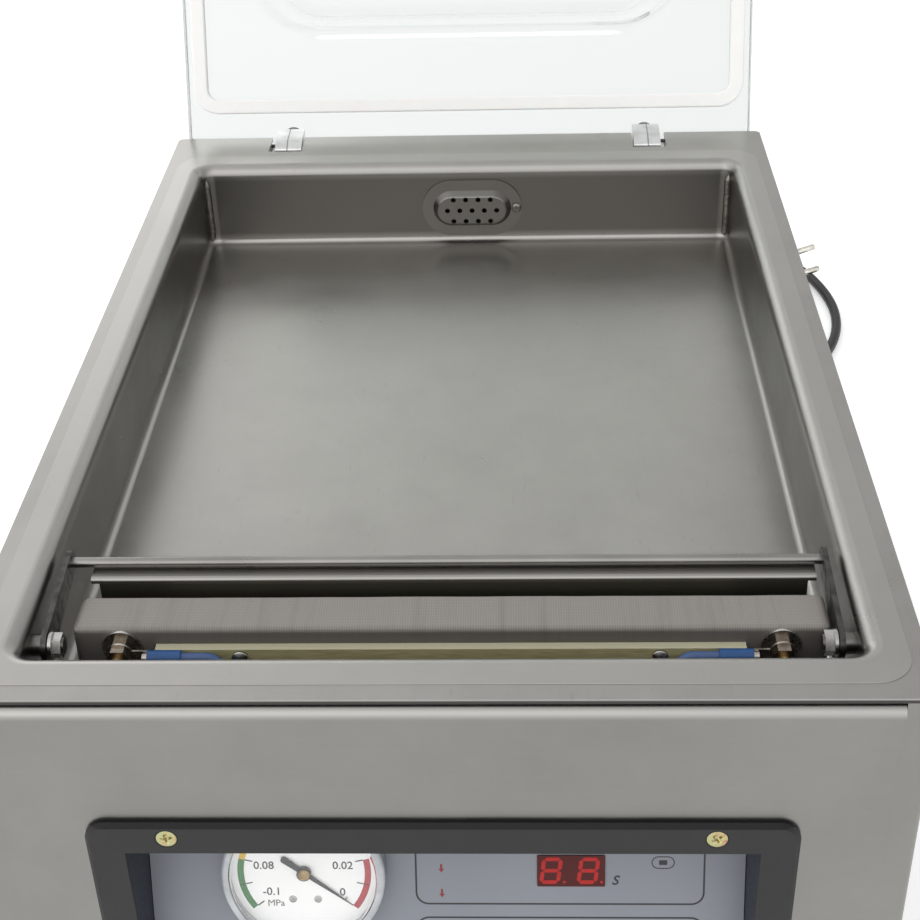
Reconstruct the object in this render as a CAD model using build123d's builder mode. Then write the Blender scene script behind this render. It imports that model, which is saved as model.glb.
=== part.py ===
"""Tabletop chamber vacuum packing machine, standing with its lid open.

Millimetres, +Z up, the front towards -Y. The pieces are drawn about the middle of the cabinet's
footprint on the table. The lid and what it carries are drawn closed and then swung open about the
hinge pins. The finished pieces are set forward, so that the origin lies under the middle of the
open machine.
"""
import os
from math import cos, hypot, pi, radians, sin, sqrt, tan

from build123d import *

os.makedirs("parts", exist_ok=True)

# Fits
CLEAR = 0.3          # between pieces that move past each other
FIT = 0.05           # radial running fit of pins, rods and hoses
SEAM = 0.4           # seam between cabinet panels

# Middle of the open machine, behind the middle of its cabinet
STAND_Y = 90.0

# Cabinet of folded stainless sheet
BODY_W = 330.0
BODY_D = 480.0
HALF_W = BODY_W / 2
HALF_D = BODY_D / 2
DECK_Z = 270.0
DECK_T = 2.0
DECK_R = 3.0
SHEET = 1.5
BEND_R = 3.0
RETURN = 11.0        # side panels wrap this far onto the front and the back
FLANGE = 12.0        # depth of the front and rear trays
FRONT_GAP = 1.0      # dark line under the deck
FEET_H = 21.5
BASE_T = 2.0
FOOT_R = 18.0
FOOT_TAPER = 6.0
FOOT_INSET_X = 35.0
FOOT_INSET_Y = 40.0
FOOT_BOLT_R = 6.0
FOOT_RECESS = 8.0
VENT_L = 60.0
VENT_W = 4.0
VENT_PITCH = 11.0
VENT_ROWS = 8
VENT_SPREAD = 120.0
VENT_Z = 150.0
BASE_VENT_PITCH = 24.0
BASE_VENT_Y = -20.0

# Chamber drawn into the deck
RIM_SIDE = 20.0      # deck beside, behind and in front of the chamber
RIM_REAR = 43.0
RIM_FRONT = 24.0
CHAMBER_HALF_W = HALF_W - RIM_SIDE
CHAMBER_REAR = HALF_D - RIM_REAR
CHAMBER_FRONT = RIM_FRONT - HALF_D
CHAMBER_DEPTH = 45.0
TUB_T = 2.0
CORNER_R = 6.0
FLOOR_R = 3.0
ROLL_R = 6.0
LAND_SIDE = 14.0     # sealing land beside, behind and in front of the chamber
LAND_BACK = 16.0
LAND_FORE = 16.5
LAND_HALF_W = CHAMBER_HALF_W + LAND_SIDE
LAND_REAR = CHAMBER_REAR + LAND_BACK
LAND_FRONT = CHAMBER_FRONT - LAND_FORE
LAND_H = 0.3
LAND_R = 14.0
LAND_EDGE_R = 0.2

# Suction port on the rear wall
SUCTION_X = 3.0
SUCTION_DROP = 25.0
PORT_R = 9.0
PORT_T = 2.0
PORT_BEND_R = 9.0
PORT_OUT = 14.0
PORT_DOWN = 12.0
COVER_W = 55.0
COVER_H = 33.0
COVER_T = 1.0
COVER_RISE = 3.5
COVER_DRAFT = 2.5
COVER_RIM = 6.0
COVER_LAP = 0.6
COVER_HOLE_R = 1.4
COVER_HOLE_DX = 6.8
COVER_HOLE_DZ = 6.4
COVER_SCREW_X = 24.6
COVER_SCREW_R = 2.7
COVER_SCREW_H = 1.8

# Seal bar
BAR_X = 2.8          # bar's middle, right of the chamber's
BAR_END = 11.0       # half the play between bar and chamber
BAR_FORE = 35.0      # bar's middle to the chamber's front
BAR_HALF_L = CHAMBER_HALF_W - BAR_END
BAR_Y = CHAMBER_FRONT + BAR_FORE
BAR_W = 18.2
BAR_TOP = 259.6
BAR_BOTTOM = 233.0
BAR_R = 1.2
BAR_SLOT_W = 8.0
BAR_SLOT_D = 5.0
BAND_W = 5.0
BAND_T = 0.3
BAND_END = 7.0
CLOTH_T = 0.4
CLOTH_OVER = 1.0
CLOTH_SKIRT = 16.0
STRIP_END = 28.5     # strip's end to the bar's end
STRIP_HALF_L = BAR_HALF_L - STRIP_END
STRIP_T = 3.4
STRIP_TOP = 253.1
STRIP_H = 12.5
STRIP_SCREW_END = 30.5
STRIP_SCREW_X = STRIP_HALF_L - STRIP_SCREW_END
STRIP_SCREW_R = 1.5
STRIP_SCREW_DEPTH = 6.0
STRIP_HEAD_R = 3.0
STRIP_HEAD_H = 2.2
STRIP_SCREW_UP = 2.7
STUD_END = 16.0      # terminal to the bar's end
STUD_X = BAR_HALF_L - STUD_END
STUD_Z = 252.0
STUD_R = 2.5
STUD_HEAD_R = 3.4
STUD_HEAD_T = 2.0
STUD_TAIL = 2.8
NUT_AF = 8.0
NUT_T = 3.2
TERMINAL_WASHER_R = 7.2
WASHER_T = 1.2
RING_R = 5.0
RING_T = 0.8
BARREL_R = 1.9
SLEEVE_R = 2.9
SLEEVE_REACH = 10.5
SLEEVE_L = 12.0
LEAD_R = 2.0
LEAD_IN = 37.5       # lead's grommet inwards of the terminal and in front of the bar
LEAD_FORE = 23.0
LEAD_X = STUD_X - LEAD_IN
LEAD_Y = BAR_Y - LEAD_FORE
LEAD_BEND = 6.0
LEAD_BEND_Z = 240.0
LEAD_END_Z = 208.0
GROMMET_R = 5.0
GROMMET_RIM_R = 6.5
GROMMET_RIM_T = 1.5
LIFT_END = 43.0      # lift rod to the bar's end
LIFT_X = BAR_HALF_L - LIFT_END
LIFT_ROD_R = 4.0
LIFT_ROD_END = 197.0
BUSH_R = 7.0
BUSH_RIM_R = 9.0
BUSH_RIM_T = 2.0
LIFT_CYL_R = 16.0
LIFT_CYL_H = 30.0
LIFT_CYL_CAP = 3.0
LIFT_PORT_R = 4.0
LIFT_PORT_L = 8.0

# Bag rest and bag clamp
REST_WEB_END = 3.0
REST_GAP = 17.8      # rest's web behind the bar's middle
REST_HALF_L = BAR_HALF_L
REST_WEB_HALF_L = REST_HALF_L - REST_WEB_END
REST_FRONT = BAR_Y + REST_GAP
REST_LIP = 11.2
REST_FOOT = 14.0
REST_TOP = 261.7
ROD_R = 2.0
ROD_BACK = 7.2       # rod behind the rest's web
ROD_Y = REST_FRONT + ROD_BACK
CLAMP_FORE = 16.0    # clamp pivot in front of the bar's middle
CLAMP_Y = BAR_Y - CLAMP_FORE
CLAMP_Z = 258.0
CLAMP_EYE_R = 6.0
CLAMP_ROD_EYE_R = 4.5
CLAMP_ARM_T = 2.0
CLAMP_ARM_IN = 6.0   # inner face of the arm to the chamber's side
CLAMP_ARM_X = CHAMBER_HALF_W - CLAMP_ARM_IN
CLAMP_STUD_R = 3.0
CLAMP_COLLAR_R = 4.0
CLAMP_WASHER_R = 5.2
CLAMP_NUT_T = 3.2
CLAMP_NUT_AF = 8.0
CLAMP_STUD_TAIL = 0.6

# Lid, as it lies when closed
LID_OPEN = 110.0
LID_SIDE = 4.5       # lid's edges inside the cabinet's
LID_BACK = 3.0
LID_FORE = 4.0
LID_HALF_W = HALF_W - LID_SIDE
LID_REAR = HALF_D - LID_BACK
LID_FRONT = LID_FORE - HALF_D
LID_R = 14.0
LID_T = 12.0
LID_EDGE_R = 1.2
LID_GAP = 3.2        # between sealing land and lid
DOME_SIDE = 22.0     # dome's foot inside the chamber's walls
DOME_BACK = 29.0
DOME_FORE = 58.0
DOME_HALF_W = CHAMBER_HALF_W - DOME_SIDE
DOME_REAR = CHAMBER_REAR - DOME_BACK
DOME_FRONT = CHAMBER_FRONT + DOME_FORE
DOME_R = 40.0
DOME_H = 45.0
DOME_T = 5.5
DOME_TAPER = 12.0
DOME_TOP_R = 14.0
DOME_FOOT_R = 6.0
GASKET_W = 8.0
GASKET_SIDE = 3.0    # gasket's outer edge inside the land's
GASKET_BACK = 2.0
GASKET_FORE = 0.5
GASKET_HALF_W = LAND_HALF_W - GASKET_SIDE
GASKET_REAR = LAND_REAR - GASKET_BACK
GASKET_FRONT = LAND_FRONT + GASKET_FORE
GASKET_R = 14.0
GROOVE = 1.5
GASKET_ROUND = 1.2
PRESS_END = 3.0      # pressure bar's end inside the seal bar's
PRESS_HALF_L = BAR_HALF_L - PRESS_END
PRESS_W = 19.0
PRESS_T = 3.0
PRESS_LIP = 1.6
PAD_W = 12.0
PAD_T = 2.9
PAD_R = 1.0

# Hinges
HINGE_SIDE = 64.0    # hinge to the cabinet's side and pin to its back
PIVOT_BACK = 7.0
HINGE_X = HALF_W - HINGE_SIDE
PIVOT_Y = HALF_D - PIVOT_BACK
PIVOT_DROP = 6.5     # pivot below the deck's top
PIN_R = 3.0
ARM_W = 15.0
ARM_BARREL_R = 7.0
ARM_FRONT = 13.0
ARM_REAR = 4.0
ARM_RIDGE = (-7.5, -4.0)
ARM_HEEL = (-1.4, -10.7)
ARM_EDGE_R = 0.8
NOTCH_IN = 0.7
NOTCH_OUT = 2.8
NOTCH_REACH = 20.2
NOTCH_FRONT = HALF_D - NOTCH_REACH
LUG_T = 3.0
LUG_FORE = 7.0
LUG_BACK = 5.0
LUG_Y0 = PIVOT_Y - LUG_FORE
LUG_Y1 = PIVOT_Y + LUG_BACK
LUG_DROP = 7.0
LUG_R = 4.0
PIN_OVER = 0.8
HINGE_SCREW_FORE = 9.0
HINGE_SCREW_Y = PIVOT_Y - HINGE_SCREW_FORE
HINGE_SCREW_R = 2.0
HINGE_SCREW_BITE = 3.6
HINGE_HEAD_R = 5.0
HINGE_HEAD_H = 3.2

# Control console set into the front
WIN_HALF_W = 111.0
WIN_TOP = 201.8
WIN_BOTTOM = 97.0
FRAME_W = 13.5
FRAME_T = 3.0
FRAME_R = 8.0
FRAME_CHAMFER = 1.6
CONSOLE_WALL = 2.5
PANEL_T = 1.5
PANEL_TOP_IN = 31.8  # panel face behind the front, at the top and the bottom of the window
PANEL_BOTTOM_IN = 0.6
PANEL_TOP_Y = PANEL_TOP_IN - HALF_D
PANEL_BOTTOM_Y = PANEL_BOTTOM_IN - HALF_D
PANEL_SLACK = 0.6
CONSOLE_SCREW_X = 95.5
CONSOLE_SCREW_IN = 6.6
CONSOLE_SCREW_R = 4.2
CONSOLE_SHANK_R = 2.0
CONSOLE_SHANK_L = 10.0
DISPLAY_X = 46.4
DISPLAY_V = 18.6
DISPLAY_W = 25.2
DISPLAY_H = 12.9
DISPLAY_T = 0.6
GAUGE_X = -52.5
GAUGE_V = 19.8
GAUGE_R = 30.5
GAUGE_RISE = 9.0
GAUGE_WALL = 3.0
GAUGE_RIM_R = 2.0
GAUGE_BACK_R = 26.5
GAUGE_BACK_L = 22.0
GAUGE_FLOOR = 2.0
SPIGOT_R = 5.0
SPIGOT_L = 12.0
DIAL_T = 0.8
LENS_Z = 6.2
LENS_T = 2.0
LENS_CROWN = 0.9
NEEDLE_TIP = 21.0
NEEDLE_TAIL = 8.0
NEEDLE_HALF_W = 1.1
NEEDLE_T = 0.8
NEEDLE_REST = -37.0
HUB_R = 3.2
HUB_T = 1.7
SPINDLE_R = 0.9
SPINDLE_L = 3.0
BOARD_X = 46.0
BOARD_V = -2.0
BOARD_W = 110.0
BOARD_H = 84.0
BOARD_T = 1.6
BOSS_R = 3.0
BOSS_L = 12.0
BOSS_INSET = 6.0

# Works under the chamber
PUMP_Y = 60.0
PUMP_X = 75.0
PUMP_L = 110.0
PUMP_W = 118.0
PUMP_H = 120.0
PUMP_R = 12.0
SKID_X0 = -120.0
SKID_X1 = 130.0
SKID_W = 100.0
SKID_T = 3.0
MOUNT_R = 10.0
MOUNT_H = 14.0
MOUNT_INSET = 15.0
MOTOR_R = 50.0
MOTOR_L = 118.0
MOTOR_FIN_H = 5.0
MOTOR_FIN_W = 3.0
MOTOR_FINS = 20
MOTOR_FOOT_W = 70.0
MOTOR_FOOT_L = 18.0
COWL_L = 40.0
COWL_T = 1.5
SHAFT_R = 6.0
FAN_HUB_R = 14.0
FAN_R = 46.0
FAN_L = 22.0
FAN_BLADES = 7
FAN_BLADE_T = 2.4
FAN_GAP = 4.0
OIL_GLASS_R = 9.0
INLET_R = 9.0
INLET_L = 18.0
INLET_Z = 130.0
TRAFO_SIDE = 75.0    # transformer to the cabinet's side and front
TRAFO_FORE = 130.0
TRAFO_X = HALF_W - TRAFO_SIDE
TRAFO_Y = TRAFO_FORE - HALF_D
TRAFO_L = 90.0
TRAFO_H = 76.0
TRAFO_STACK = 46.0
TRAFO_COIL = 76.0
TRAFO_LEG = 15.0
VALVE_X = -60.0
VALVE_BACK = 50.0
VALVE_Y = HALF_D - VALVE_BACK
VALVE_L = 80.0
VALVE_W = 36.0
VALVE_H = 34.0
SOLENOID_R = 13.0
SOLENOID_H = 34.0
HOSE_R = 12.0
HOSE_LAP = 10.0

# Mains cord, plug and coil of spare cord on the table behind the machine
CORD_R = 3.75
GLAND_X = -110.0
GLAND_Z = 60.0
GLAND_RIM_R = 10.0
GLAND_RIM_T = 4.0
GLAND_NECK_R = 6.2
GLAND_TIP_R = 4.8
GLAND_L = 18.0
GLAND_INSIDE = 4.0
COIL_X = 40.0
COIL_Y = 395.0
COIL_R = 47.0
COIL_PITCH = 8.2
COIL_Z = 5.6
COIL_QUARTERS = 16
TIE_W = 6.0
TIE_T = 1.2
TIE_GAP = 0.3
TABLE_GAP = 0.1      # cord and plug above the table
PLUG_FACE = (251.0, 564.0)
PLUG_TURN = 10.0
PLUG_TILT = 14.0     # the plug lies on its rim, its pins raised
PLUG_ROLL = 10.0
PLUG_R = 20.0
PLUG_FRONT_L = 16.0
PLUG_GRIP_R = 13.0
PLUG_L = 42.0
PLUG_TAIL_R = 5.2
PLUG_TAIL_L = 22.0
PLUG_EDGE_R = 1.5
PLUG_PIN_R = 2.4
PLUG_PIN_L = 19.0
PLUG_PIN_GAP = 19.0
PLUG_PIN_SUNK = 6.0
BEND_SHARE = 0.45

DECK_UNDER = DECK_Z - DECK_T
LAND_Z = DECK_Z + LAND_H
BASE_TOP = FEET_H + BASE_T
FLOOR_Z = DECK_Z - CHAMBER_DEPTH
FLOOR_UNDER = FLOOR_Z - TUB_T
CHAMBER_Y = (CHAMBER_REAR + CHAMBER_FRONT) / 2
CHAMBER_L = CHAMBER_REAR - CHAMBER_FRONT
PIVOT_Z = DECK_Z - PIVOT_DROP
LID_Z = LAND_Z + LID_GAP
SUCTION_Z = DECK_Z - SUCTION_DROP
ROD_Z = REST_TOP + CLEAR + ROD_R
TRAY_TOP = DECK_UNDER - FRONT_GAP

# Console face: a plane that leans back towards its top
PANEL_TAN = (PANEL_TOP_Y - PANEL_BOTTOM_Y) / (WIN_TOP - WIN_BOTTOM)
PANEL_COS = 1 / sqrt(1 + PANEL_TAN**2)
PANEL_SIN = PANEL_TAN * PANEL_COS
PANEL_MID_Z = (WIN_TOP + WIN_BOTTOM) / 2


def panel_y(height, depth):
    """Y of the surface that lies so deep behind the console face, at this height."""
    return PANEL_BOTTOM_Y + (height - WIN_BOTTOM) * PANEL_TAN + depth / PANEL_COS


panel_plane = Plane(
    origin=(0, panel_y(PANEL_MID_Z, 0), PANEL_MID_Z),
    x_dir=(1, 0, 0),
    z_dir=(0, -PANEL_COS, PANEL_SIN),
)
gauge_plane = panel_plane.shift_origin(panel_plane.from_local_coords((GAUGE_X, GAUGE_V, 0)))
open_swing = Axis((0, PIVOT_Y, PIVOT_Z), (-1, 0, 0))


def keep(solid, name):
    """Name one finished node, set it about the open machine's middle and write its STEP file."""
    placed = solid.moved(Location((0, -STAND_Y, 0)))
    placed.label = name
    export_step(placed, f"parts/{name}.step")


def along_x(x, y, z):
    """Plane at a point that faces +X, its own x axis along +Y."""
    return Plane(origin=(x, y, z), x_dir=(0, 1, 0), z_dir=(1, 0, 0))


def along_y(x, y, z):
    """Plane at a point that faces +Y, its own y axis along +Z."""
    return Plane(origin=(x, y, z), x_dir=(-1, 0, 0), z_dir=(0, 1, 0))


def side_tray(side):
    """Side panel: a sheet tray, open to the inside, that wraps onto the front and back."""
    with BuildPart() as tray:
        with BuildSketch(Plane.XY.offset(FEET_H - SHEET)):
            with Locations((side * (HALF_W - RETURN / 2), 0)):
                Rectangle(RETURN, BODY_D)
        extrude(amount=DECK_UNDER - FEET_H + SHEET)
        outer = tray.faces().sort_by(Axis.X)[-1 if side > 0 else 0]
        fillet(outer.edges().filter_by(Axis.Z), BEND_R)
        inner = tray.faces().sort_by(Axis.X)[0 if side > 0 else -1]
        offset(amount=-SHEET, openings=inner)
    return tray.part


def end_tray(end):
    """Front or rear panel: a sheet tray between the side panels, its top edge rolled."""
    with BuildPart() as tray:
        with BuildSketch(Plane.XY.offset(BASE_TOP)):
            with Locations((0, end * (HALF_D - FLANGE / 2))):
                Rectangle(2 * (HALF_W - RETURN - SEAM), FLANGE)
        extrude(amount=TRAY_TOP - BASE_TOP)
        outer = tray.faces().sort_by(Axis.Y)[-1 if end > 0 else 0]
        fillet(outer.edges().filter_by(Axis.X).sort_by(Axis.Z)[-1], BEND_R)
        inner = tray.faces().sort_by(Axis.Y)[0 if end > 0 else -1]
        offset(amount=-SHEET, openings=inner)
    return tray.part


def bend_radii(points):
    """Bend radius at each inner point of a cord's route, from the shorter run beside it."""
    radii = []
    for before, here, after in zip(points, points[1:], points[2:]):
        run_in = Vector(*here) - Vector(*before)
        run_out = Vector(*after) - Vector(*here)
        turn = radians(run_in.get_angle(run_out))
        radii.append(BEND_SHARE * min(run_in.length, run_out.length) / tan(turn / 2))
    return radii


def cord_tube(points, name):
    """Round cord along straight runs joined by tangent arcs."""
    radii = bend_radii(points)
    with BuildPart() as cord:
        with BuildLine() as route:
            FilletPolyline(*points, radius=radii)
        with BuildSketch(Plane(origin=route.line @ 0, z_dir=route.line % 0)):
            Circle(CORD_R)
        sweep()
    length = route.wire().length
    share = cord.part.volume / (pi * CORD_R**2 * length)
    print(name, "length", round(length), "least bend", round(min(radii)), "volume", round(share, 3))
    return cord.part


# Cabinet
with BuildPart() as base_plate:
    with BuildSketch(Plane.XY.offset(FEET_H)):
        RectangleRounded(
            BODY_W - 2 * (SHEET + CLEAR), BODY_D - 2 * (SHEET + CLEAR), BEND_R
        )
        with Locations((0, BASE_VENT_Y)):
            with GridLocations(VENT_SPREAD, BASE_VENT_PITCH, 2, 3):
                SlotOverall(VENT_L, VENT_W, mode=Mode.SUBTRACT)
    extrude(amount=BASE_T)

with BuildPart() as rubber_feet:
    with BuildSketch(Plane.XY.offset(FEET_H)):
        with GridLocations(BODY_W - 2 * FOOT_INSET_X, BODY_D - 2 * FOOT_INSET_Y, 2, 2):
            Circle(FOOT_R)
    extrude(amount=-FEET_H, taper=FOOT_TAPER)
    with BuildSketch():
        with GridLocations(BODY_W - 2 * FOOT_INSET_X, BODY_D - 2 * FOOT_INSET_Y, 2, 2):
            Circle(FOOT_BOLT_R)
    extrude(amount=FOOT_RECESS, mode=Mode.SUBTRACT)

side_panel_left = side_tray(-1)
side_panel_right = side_tray(1)

with BuildPart() as front_panel:
    add(end_tray(-1))
    with BuildSketch(along_y(0, -HALF_D, PANEL_MID_Z)):
        Rectangle(
            2 * (WIN_HALF_W + CONSOLE_WALL + CLEAR),
            WIN_TOP - WIN_BOTTOM + 2 * (CONSOLE_WALL + CLEAR),
        )
    extrude(amount=SHEET, mode=Mode.SUBTRACT)
    with BuildSketch(along_y(0, -HALF_D, PANEL_MID_Z)):
        with GridLocations(
            2 * CONSOLE_SCREW_X, WIN_TOP - WIN_BOTTOM + 2 * (FRAME_W - CONSOLE_SCREW_IN), 2, 2
        ):
            Circle(CONSOLE_SHANK_R + FIT)
    extrude(amount=SHEET, mode=Mode.SUBTRACT)

NOTCH_NEAR = HINGE_X - ARM_W / 2 - NOTCH_IN
NOTCH_FAR = HINGE_X + ARM_W / 2 + NOTCH_OUT
NOTCH_MID = (NOTCH_NEAR + NOTCH_FAR) / 2
NOTCH_W = NOTCH_FAR - NOTCH_NEAR
LUG_NEAR = NOTCH_NEAR - CLEAR - LUG_T / 2
LUG_FAR = NOTCH_FAR + CLEAR + LUG_T / 2
NOTCH_BOTTOM = PIVOT_Z - hypot(*ARM_HEEL) - 3 * CLEAR

with BuildPart() as rear_panel:
    add(end_tray(1))
    with BuildSketch(along_y(0, HALF_D - SHEET, VENT_Z)):
        with GridLocations(VENT_SPREAD, VENT_PITCH, 2, VENT_ROWS):
            SlotOverall(VENT_L, VENT_W)
    extrude(amount=SHEET, mode=Mode.SUBTRACT)
    with BuildSketch(along_y(GLAND_X, HALF_D - SHEET, GLAND_Z)):
        Circle(GLAND_NECK_R + FIT)
    extrude(amount=SHEET, mode=Mode.SUBTRACT)
    with BuildSketch(Plane.XY.offset(NOTCH_BOTTOM)):
        with Locations((-HINGE_X, HALF_D), (HINGE_X, HALF_D)):
            Rectangle(ARM_W + 2 * NOTCH_IN, 2 * (SHEET + CLEAR))
    extrude(amount=TRAY_TOP - NOTCH_BOTTOM, mode=Mode.SUBTRACT)
    with BuildSketch(Plane.XY.offset(NOTCH_BOTTOM)):
        with Locations((-NOTCH_MID, HALF_D - SHEET - FLANGE / 2), (NOTCH_MID, HALF_D - SHEET - FLANGE / 2)):
            Rectangle(NOTCH_W + 2 * (LUG_T + PIN_OVER + 3 * CLEAR), FLANGE)
    extrude(amount=TRAY_TOP - NOTCH_BOTTOM, mode=Mode.SUBTRACT)

# Deck with the drawn chamber, sealing land, welded suction elbow and clamp studs
with BuildPart() as chamber_deck:
    with BuildSketch(Plane.XY.offset(DECK_UNDER)):
        RectangleRounded(BODY_W, BODY_D, DECK_R)
    extrude(amount=DECK_T)
    with BuildSketch(Plane.XY.offset(DECK_Z)):
        with Locations((0, (LAND_REAR + LAND_FRONT) / 2)):
            RectangleRounded(2 * LAND_HALF_W, LAND_REAR - LAND_FRONT, LAND_R)
    extrude(amount=LAND_H)
    fillet(chamber_deck.faces().sort_by(Axis.Z)[-1].edges(), LAND_EDGE_R)
    with BuildSketch(Plane.XY.offset(FLOOR_UNDER)):
        with Locations((0, CHAMBER_Y)):
            RectangleRounded(
                2 * (CHAMBER_HALF_W + TUB_T), CHAMBER_L + 2 * TUB_T, CORNER_R + TUB_T
            )
    extrude(amount=DECK_UNDER - FLOOR_UNDER)
    fillet(chamber_deck.faces().sort_by(Axis.Z)[0].edges(), FLOOR_R + TUB_T)
    with BuildSketch(Plane.XY.offset(FLOOR_Z)):
        with Locations((0, CHAMBER_Y)):
            RectangleRounded(2 * CHAMBER_HALF_W, CHAMBER_L, CORNER_R)
    extrude(amount=LAND_Z - FLOOR_Z, mode=Mode.SUBTRACT)
    floor_face = chamber_deck.faces().filter_by_position(Axis.Z, FLOOR_Z, FLOOR_Z)[0]
    fillet(floor_face.edges(), FLOOR_R)
    rim = chamber_deck.faces().sort_by(Axis.Z)[-1].inner_wires()[0]
    fillet(rim.edges(), ROLL_R)
    under_rim = chamber_deck.edges().filter_by_position(Axis.Z, DECK_UNDER, DECK_UNDER)
    under_rim = under_rim.filter_by_position(Axis.Y, CHAMBER_FRONT - TUB_T, CHAMBER_REAR + TUB_T)
    under_rim = under_rim.filter_by_position(Axis.X, -CHAMBER_HALF_W - TUB_T, CHAMBER_HALF_W + TUB_T)
    fillet(under_rim, ROLL_R - TUB_T)
    with BuildLine() as elbow:
        elbow_out = Line(
            (SUCTION_X, CHAMBER_REAR + TUB_T / 2, SUCTION_Z),
            (SUCTION_X, CHAMBER_REAR + TUB_T + PORT_OUT - PORT_BEND_R, SUCTION_Z),
        )
        elbow_bend = TangentArc(
            elbow_out @ 1,
            (SUCTION_X, CHAMBER_REAR + TUB_T + PORT_OUT, SUCTION_Z - PORT_BEND_R),
            tangent=elbow_out % 1,
        )
        Line(elbow_bend @ 1, (elbow_bend @ 1) - Vector(0, 0, PORT_DOWN))
    with BuildSketch(along_y(SUCTION_X, CHAMBER_REAR + TUB_T / 2, SUCTION_Z)):
        Circle(PORT_R)
    sweep(path=elbow.line)
    with BuildSketch(along_y(SUCTION_X, CHAMBER_REAR + TUB_T / 2, SUCTION_Z)):
        Circle(PORT_R - PORT_T)
    sweep(path=elbow.line, mode=Mode.SUBTRACT)
    with BuildSketch(along_y(SUCTION_X, CHAMBER_REAR, SUCTION_Z)):
        Circle(PORT_R - PORT_T)
    extrude(amount=TUB_T, mode=Mode.SUBTRACT)
    for side in (-1, 1):
        with BuildSketch(along_x(side * (CHAMBER_HALF_W + TUB_T / 2), CLAMP_Y, CLAMP_Z)):
            Circle(CLAMP_COLLAR_R)
        extrude(
            amount=-side * (CHAMBER_HALF_W + TUB_T / 2 - CLAMP_ARM_X - CLAMP_ARM_T - CLEAR)
        )
        with BuildSketch(along_x(side * (CHAMBER_HALF_W + TUB_T / 2), CLAMP_Y, CLAMP_Z)):
            Circle(CLAMP_STUD_R)
        extrude(
            amount=-side
            * (
                CHAMBER_HALF_W
                + TUB_T / 2
                - CLAMP_ARM_X
                + CLEAR
                + WASHER_T
                + CLAMP_NUT_T
                + CLAMP_STUD_TAIL
            )
        )
    with BuildSketch(Plane.XY.offset(DECK_UNDER)):
        with Locations(
            (-NOTCH_MID, (NOTCH_FRONT + HALF_D) / 2), (NOTCH_MID, (NOTCH_FRONT + HALF_D) / 2)
        ):
            Rectangle(NOTCH_W, HALF_D - NOTCH_FRONT)
    extrude(amount=DECK_T, mode=Mode.SUBTRACT)
    with BuildSketch(Plane.XY.offset(FLOOR_UNDER)):
        with Locations((BAR_X - LIFT_X, BAR_Y), (BAR_X + LIFT_X, BAR_Y)):
            Circle(BUSH_R)
        with Locations((BAR_X - LEAD_X, LEAD_Y), (BAR_X + LEAD_X, LEAD_Y)):
            Circle(GROMMET_R)
    extrude(amount=TUB_T, mode=Mode.SUBTRACT)

COVER_CREST = COVER_RIM + COVER_DRAFT

with BuildPart() as suction_cover:
    with BuildSketch(along_y(SUCTION_X, CHAMBER_REAR, SUCTION_Z)):
        SlotOverall(COVER_W, COVER_H)
    extrude(amount=-COVER_T)
    with BuildSketch(along_y(SUCTION_X, CHAMBER_REAR - COVER_T, SUCTION_Z)):
        SlotOverall(COVER_W - 2 * COVER_RIM, COVER_H - 2 * COVER_RIM)
    with BuildSketch(along_y(SUCTION_X, CHAMBER_REAR - COVER_T - COVER_RISE, SUCTION_Z)):
        SlotOverall(COVER_W - 2 * COVER_CREST, COVER_H - 2 * COVER_CREST)
    loft()
    fillet(suction_cover.faces().sort_by(Axis.Y)[0].edges(), COVER_T + COVER_LAP)
    with BuildSketch(along_y(SUCTION_X, CHAMBER_REAR, SUCTION_Z)):
        SlotOverall(COVER_W - 2 * (COVER_RIM + COVER_T), COVER_H - 2 * (COVER_RIM + COVER_T))
    with BuildSketch(along_y(SUCTION_X, CHAMBER_REAR - COVER_RISE, SUCTION_Z)):
        SlotOverall(COVER_W - 2 * (COVER_CREST + COVER_T), COVER_H - 2 * (COVER_CREST + COVER_T))
    loft(mode=Mode.SUBTRACT)
    with BuildSketch(along_y(SUCTION_X, CHAMBER_REAR - COVER_T, SUCTION_Z)):
        with GridLocations(COVER_HOLE_DX, COVER_HOLE_DZ, 5, 1):
            Circle(COVER_HOLE_R)
        with GridLocations(COVER_HOLE_DX, 2 * COVER_HOLE_DZ, 4, 2):
            Circle(COVER_HOLE_R)
    extrude(amount=-2 * COVER_RISE, mode=Mode.SUBTRACT)
    with BuildSketch(along_y(SUCTION_X + COVER_SCREW_X, CHAMBER_REAR, SUCTION_Z)):
        Circle(COVER_SCREW_R / 2)
    extrude(amount=-COVER_T, mode=Mode.SUBTRACT)

with BuildPart() as suction_screw:
    with BuildSketch(along_y(SUCTION_X + COVER_SCREW_X, CHAMBER_REAR - COVER_T, SUCTION_Z)):
        Circle(COVER_SCREW_R)
    extrude(amount=-COVER_SCREW_H)
    fillet(suction_screw.faces().sort_by(Axis.Y)[0].edges(), COVER_SCREW_H / 2)
    with BuildSketch(along_y(SUCTION_X + COVER_SCREW_X, CHAMBER_REAR - COVER_T, SUCTION_Z)):
        Circle(COVER_SCREW_R / 2)
    extrude(amount=COVER_T)

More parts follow.
